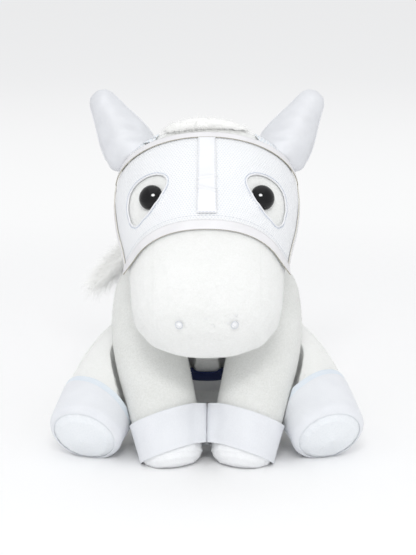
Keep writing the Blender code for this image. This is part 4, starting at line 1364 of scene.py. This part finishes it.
def girdle(name, along_range, grid, lift, thickness, material, least=0.0008, deepest=0.0032):
    """A taut band round the barrel on the stuffed skin. It bridges the rooms of the legs.

    There it stays below the barrel's full form by the least measure, and no deeper than the deepest.
    """
    cloth = wrap(torso_shape, along_range, (0, math.tau), grid, 0.0)
    bmesh.ops.remove_doubles(cloth, verts=cloth.verts, dist=weld)
    rays, depths = {}, {}
    for vert in cloth.verts:
        share = (vert.co - torso_shape.start).dot(torso_run) / torso_shape.length**2
        middle = torso_shape.spine(share * torso_shape.length)
        outward = (vert.co - middle).normalized()
        hit = torso_tree.ray_cast(middle, outward, 0.12)[0]
        rays[vert] = (middle, outward)
        depths[vert] = (hit - middle).length if hit else (vert.co - middle).length
    beside = {vert: [edge.other_vert(vert) for edge in vert.link_edges] for vert in cloth.verts}
    taut = {vert: max(depths[spot] for spot in [vert, *others]) for vert, others in beside.items()}
    for _ in range(4):
        taut = {
            vert: (taut[vert] + sum(taut[other] for other in others) / len(others)) / 2
            for vert, others in beside.items()
        }
    for vert, (middle, outward) in rays.items():
        full = (vert.co - middle).length
        depth = max(depths[vert], min(taut[vert], full - least), full - deepest)
        vert.co = middle + outward * (depth + lift)
    bmesh.ops.recalc_face_normals(cloth, faces=cloth.faces)
    return thicken(as_object(name, cloth, material), thickness)


band = girdle("girth_cloth_band", (0.0820, 0.0980), (14, 200), 0.0006, 0.0008, girth_cloth)
tape = girdle("girth_tape", (0.0975, 0.1085), (10, 200), 0.0012, 0.0008, navy_tape)
worn(band, "torso_body", "girth_band")
worn(tape, "torso_body", "girth_binding")

# %% [markdown]
# ## Hair
# The forelock, the mane and the tail are long pile. Each has a soft core in the form of its solid,
# and some thousand strands that leave the core's surface and bend with the way the hair is combed.
# A strand is a narrow ribbon of five steps that narrows to its tip.

# %% Grow the hair
def sample(mesh, count, dice):
    """Random points spread evenly over a mesh, with their normals."""
    mesh.calc_loop_triangles()
    corners = np.array([v.co for v in mesh.vertices])
    triangles = np.array([t.vertices[:] for t in mesh.loop_triangles])
    a, b, c = corners[triangles[:, 0]], corners[triangles[:, 1]], corners[triangles[:, 2]]
    cross = np.cross(b - a, c - a)
    area = np.linalg.norm(cross, axis=1)
    chosen = dice.choice(len(triangles), size=count, p=area / area.sum())
    u, v = dice.random(count), dice.random(count)
    flip = u + v > 1
    u[flip], v[flip] = 1 - u[flip], 1 - v[flip]
    points = a[chosen] + (b - a)[chosen] * u[:, None] + (c - a)[chosen] * v[:, None]
    normals = cross[chosen] / area[chosen][:, None]
    return points, normals


def unit(vectors):
    return vectors / np.maximum(np.linalg.norm(vectors, axis=-1, keepdims=True), 1e-12)


def ribbons(name, roots, normals, headings, falls, lengths, width, material, dice, steps=5):
    """Narrow ribbons from their roots: each sets out on its heading and falls off it.

    Each lies flat to the surface below, as hair that is combed together does.
    """
    count = len(roots)
    shares = np.linspace(0, 1, steps + 1)
    sides = unit(unit(np.cross(headings, normals)) + dice.normal(size=(count, 3)) * 0.25)
    wander = sides * (dice.normal(size=(count, 1)) * 0.10)
    rows = []
    for share in shares:
        course = headings * share + falls * share**2 + wander * math.sin(share * 5)
        middle = roots + course * lengths[:, None]
        half = sides * (width * max(1 - share, 0.06) ** 0.7)
        rows += [middle - half, middle + half]
    verts = np.stack(rows, axis=1).reshape(-1, 3)
    verts[:, 2] = np.maximum(verts[:, 2], 0.0005)
    stride = 2 * (steps + 1)
    quads = [[2 * s, 2 * s + 1, 2 * s + 3, 2 * s + 2] for s in range(steps)]
    faces = (np.arange(count)[:, None, None] * stride + np.array(quads)[None]).reshape(-1, 4)
    made = from_points(name, verts.tolist(), faces.tolist(), material)
    made.data.shade_smooth()
    return made


def hair_piece(name, node, body, comb, fall, length, count, seed, width, sink=0.0006):
    """A core in the form of the node's solid, and strands over it."""
    core_data = bmesh.new()
    core_data.from_mesh(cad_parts[node].data)
    bmesh.ops.remove_doubles(core_data, verts=core_data.verts, dist=0.00005)
    core = even_out(as_object(f"{name}_core", core_data, hair_white), 0.0018)
    dice = np.random.default_rng(seed)
    with opened(core) as soft:
        relax(soft, soft.verts, 4)
    roots, normals = sample(core.data, count, dice)
    combed = np.array([comb(Vector(point)) for point in roots])
    headings = unit(unit(combed) * 0.75 + normals * 0.50 + dice.normal(size=roots.shape) * 0.24)
    falls = np.array([fall] * count) + dice.normal(size=roots.shape) * 0.08
    lengths = length * (0.55 + 0.45 * dice.random(count))
    roots -= normals * sink
    strands = ribbons(
        f"{name}_strands", roots, normals, headings, falls, lengths, width, hair_white, dice
    )
    for vert in core.data.vertices:
        vert.co.z = max(vert.co.z, 0.001)
    worn(core, body, node)
    worn(strands, body)


def forelock_comb(point):
    return Vector((point.x * 10, -0.80, -0.25)).normalized()


def crest_comb(point):
    return Vector((point.x * 20, 0.35, -1)).normalized()


def lock_comb(point):
    return Vector((-0.84, 0.10, -0.55)).normalized()


def tail_comb(point):
    return Vector((point.x * 12, 0.30, -1)).normalized()


tufts = (
    ("forelock", "forelock", "head_body", forelock_comb, (0, -0.10, -0.25), 0.0070, 2600, 0.00010),
    ("upper_mane", "mane_upper", "head_body", crest_comb, (0, 0.05, -0.35), 0.0140, 7000, 0.00012),
    ("lower_mane", "mane_lower", "torso_body", crest_comb, (0, 0.05, -0.25), 0.0140, 7000, 0.00012),
    ("mane_lock", "mane_lock", "torso_body", lock_comb, (0, 0.02, -0.20), 0.0150, 7000, 0.00011),
    ("tail_hair", "tail", "tail_body", tail_comb, (0, -0.05, -0.12), 0.0150, 8000, 0.00012),
)
for number, (name, node, body, comb, fall, length, count, width) in enumerate(tufts):
    hair_piece(name, node, body, comb, fall, length, count, 11 + number, width)

# %% [markdown]
# ## The pile of the plush
# Seen against the light, plush has a soft outline of fibre tips. Each skin gets a coat of very short
# fibres, each one narrow triangle that leans with the nap, towards the hooves and the nose. None
# grows where a band or the mask covers the skin, or where it would reach another skin.

# %% Grow the pile
def coat(skin_name, body, nap, seed, keep_off, per_square_cm=130, length=0.0013, width=0.00011):
    """Short fibres on a skin. None grows under a worn sheet or within a gap of another skin."""
    skin = bpy.data.objects[skin_name]
    dice = np.random.default_rng(seed)
    square_cms = sum(face.area for face in skin.data.polygons) * 10000
    count = int(square_cms * per_square_cm * (1))
    roots, normals = sample(skin.data, count, dice)
    flow = np.array(nap)[None] - normals * (normals @ np.array(nap))[:, None]
    headings = unit(normals * 0.55 + unit(flow) * 0.65 + dice.normal(size=roots.shape) * 0.30)
    reach = length * (0.6 + 0.4 * dice.random(count))
    tips = roots + headings * reach[:, None]
    free = np.ones(count, bool)
    for tree, gap in keep_off:
        for index in np.nonzero(free)[0]:
            tip = Vector(tips[index])
            near, normal, _, distance = tree.find_nearest(tip, 0.012)
            if near is None:
                continue
            above = (tip - near).dot(normal)
            beside = (tip - near - normal * above).length
            if distance < gap or (above < 0 and beside < 0.0009):
                free[index] = False
    free &= tips[:, 2] > 0.0004
    normals, tips, headings = normals[free], tips[free], headings[free]
    roots = roots[free] - normals * 0.0002
    sides = unit(unit(np.cross(headings, normals)) + dice.normal(size=roots.shape) * 0.25) * width
    verts = np.stack((roots - sides, roots + sides, tips), axis=1).reshape(-1, 3)
    faces = np.arange(len(verts)).reshape(-1, 3)
    pile = from_points(f"{skin_name}_pile", verts.tolist(), faces.tolist(), skin.data.materials[0])
    worn(pile, body)


def on_both(*parts):
    """The names of some pieces on both sides of the horse."""
    return [f"{part}_{side_name}" for part in parts for side_name, _ in both_sides]


head_wear = ["mask_panel_knit", "brow_band_leather", "nose_band_leather"]
head_wear += on_both("side_trim_leather", "ear_mesh_knit", "ear_cover_skin")
limbs = on_both("front_leg_skin", "hind_leg_skin")
under_wear, joint_gap = 0.0006, 0.0015
off_head, off_limbs = (bare_tree("head_skin"), joint_gap), (bare_tree(*limbs), joint_gap)
off_trunk = (bare_tree("torso_skin", "neck_skin"), joint_gap)
coat("head_skin", "head_body", (0, -0.35, -0.80), 21, [(bare_tree(*head_wear), under_wear), off_trunk])
off_girth = (bare_tree("girth_cloth_band", "girth_tape"), under_wear)
for skin_name, seed in (("torso_skin", 22), ("neck_skin", 23)):
    coat(skin_name, "torso_body", (0, 0.2, -1), seed, [off_girth, off_limbs, off_head])
for number, (side_name, side) in enumerate(both_sides):
    for kind, nap in (("front", (0, -0.4, -1)), ("hind", (side * 0.3, -1, -0.3))):
        body, other = f"{kind}_leg_{side_name}_body", "hind" if kind == "front" else "front"
        cuff = (bare_tree(f"{kind}_cuff_cloth_{side_name}"), under_wear)
        others = [f"{other}_{part}_{side_name}" for part in ("leg_skin", "cuff_cloth")]
        apart = (bare_tree("torso_skin", "neck_skin", *others), joint_gap)
        coat(f"{kind}_leg_skin_{side_name}", body, nap, 30 + number, [cuff, apart, off_head])
        coat(f"{kind}_sole_skin_{side_name}", body, nap, 40 + number, [cuff, apart], 160, 0.0011)

# %% [markdown]
# ## Eyes and washers
# An eye is a turned black dome with a post behind it. The frame's dome has plain facets, in which a
# lamp would break up, so a smooth one of the same size takes its place. The washers hold the posts
# inside the head. They have the right shape already, so they keep it and only get a finish.

# %% Turn the eyes and finish the washers
quarter = np.linspace(0, math.pi / 2, 25)
eye_profile = [(eye_radius * math.sin(turn), eye_height * math.cos(turn)) for turn in quarter]
eye_profile += [(eye_radius, -0.0003), (0.0022, -0.0004), (0.0022, -0.0140), (0.0, -0.0140)]
for side_name, side in both_sides:
    seat, outward = eyes[side]
    eye = spun(f"eye_dome_{side_name}", eye_profile, seat, outward, eye_black, 64)
    worn(eye, "head_body", f"eye_{side_name}")
    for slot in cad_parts[f"eye_washer_{side_name}"].material_slots:
        slot.material = washer_plastic

# %% [markdown]
# ## Floor and light
# The horse sits on a plain white sweep under a bright, even sky of white cloth. A softbox above and
# behind the camera lights the face, and a wide one overhead lifts the upper faces a little. A third
# lamp only shows as the oval highlight in each eye and as a soft gloss on the ears. Behind the horse
# the sweep lets a paler backdrop through, which is only there for the camera's own rays, and far
# away it fades into it. All the light together shows a pale surface at about its own colour.

# %% Make the floor and the lamps
floor_data = bmesh.new()
bmesh.ops.create_grid(floor_data, x_segments=1, y_segments=1, size=6)
floor_finish = Finish("white_sweep", (0.96, 0.96, 0.96), 0.9, {"Specular IOR Level": 0.0})
floor_place = floor_finish.place()
sweep_grain = floor_finish.noise(floor_place, 3, 2)
sweep_white = floor_finish.mix(sweep_grain, (0.980, 0.980, 0.983), (0.988, 0.988, 0.988))
floor_finish.feed("Base Color", sweep_white)
ahead, aside, _ = floor_finish.split(floor_place)
from_horse = (ahead * ahead + aside * aside) ** 0.5
thinner, thicker, gone = (
    floor_finish.ramp(from_horse, *limits) for limits in ((0.35, 0.80), (0.80, 2.30), (4.2, 5.8))
)
floor_finish.feed("Alpha", 1.0 - thinner * 0.70 + thicker * 0.45 - gone * 0.75)
floor = as_object("floor", floor_data, floor_finish.material)


def lamp(name, spot, target, size, power):
    data = bpy.data.lights.new(name, "AREA")
    data.shape, data.size, data.size_y, data.energy = "RECTANGLE", size[0], size[1], power
    made = bpy.data.objects.new(name, data)
    made.location = spot
    made.rotation_euler = (Vector(target) - Vector(spot)).to_track_quat("-Z", "Y").to_euler()
    scene.collection.objects.link(made)
    return made


lamp("front_softbox", (0.0, -1.63, 1.49), (0, -0.10, 0.20), (0.66, 0.34), 10.5)
eye_light = lamp("eye_softbox", (0.0, -1.75, 1.62), (0, -0.10, 0.20), (1.20, 0.85), 80)
eye_light.data.shape, eye_light.visible_diffuse = "ELLIPSE", False
lamp("top_softbox", (0.0, 0.0, 1.90), (0, -0.02, 0.10), (2.0, 2.0), 3.6)
world = bpy.data.worlds.new("studio")
scene.world = world
world.use_nodes = True
tree = world.node_tree
sky, backdrop = tree.nodes["Background"], tree.nodes.new("ShaderNodeBackground")
shades = ((sky, (0.985, 0.99, 1.0, 1), 0.79), (backdrop, (0.985, 0.987, 0.990, 1), 1.0))
for shade, colour, strength in shades:
    shade.inputs["Color"].default_value, shade.inputs["Strength"].default_value = colour, strength
rays, either = tree.nodes.new("ShaderNodeLightPath"), tree.nodes.new("ShaderNodeMixShader")
tree.links.new(rays.outputs["Is Camera Ray"], either.inputs[0])
tree.links.new(sky.outputs[0], either.inputs[1])
tree.links.new(backdrop.outputs[0], either.inputs[2])
tree.links.new(either.outputs[0], tree.nodes["World Output"].inputs["Surface"])
print("lamps: 3, sky strength", sky.inputs["Strength"].default_value)
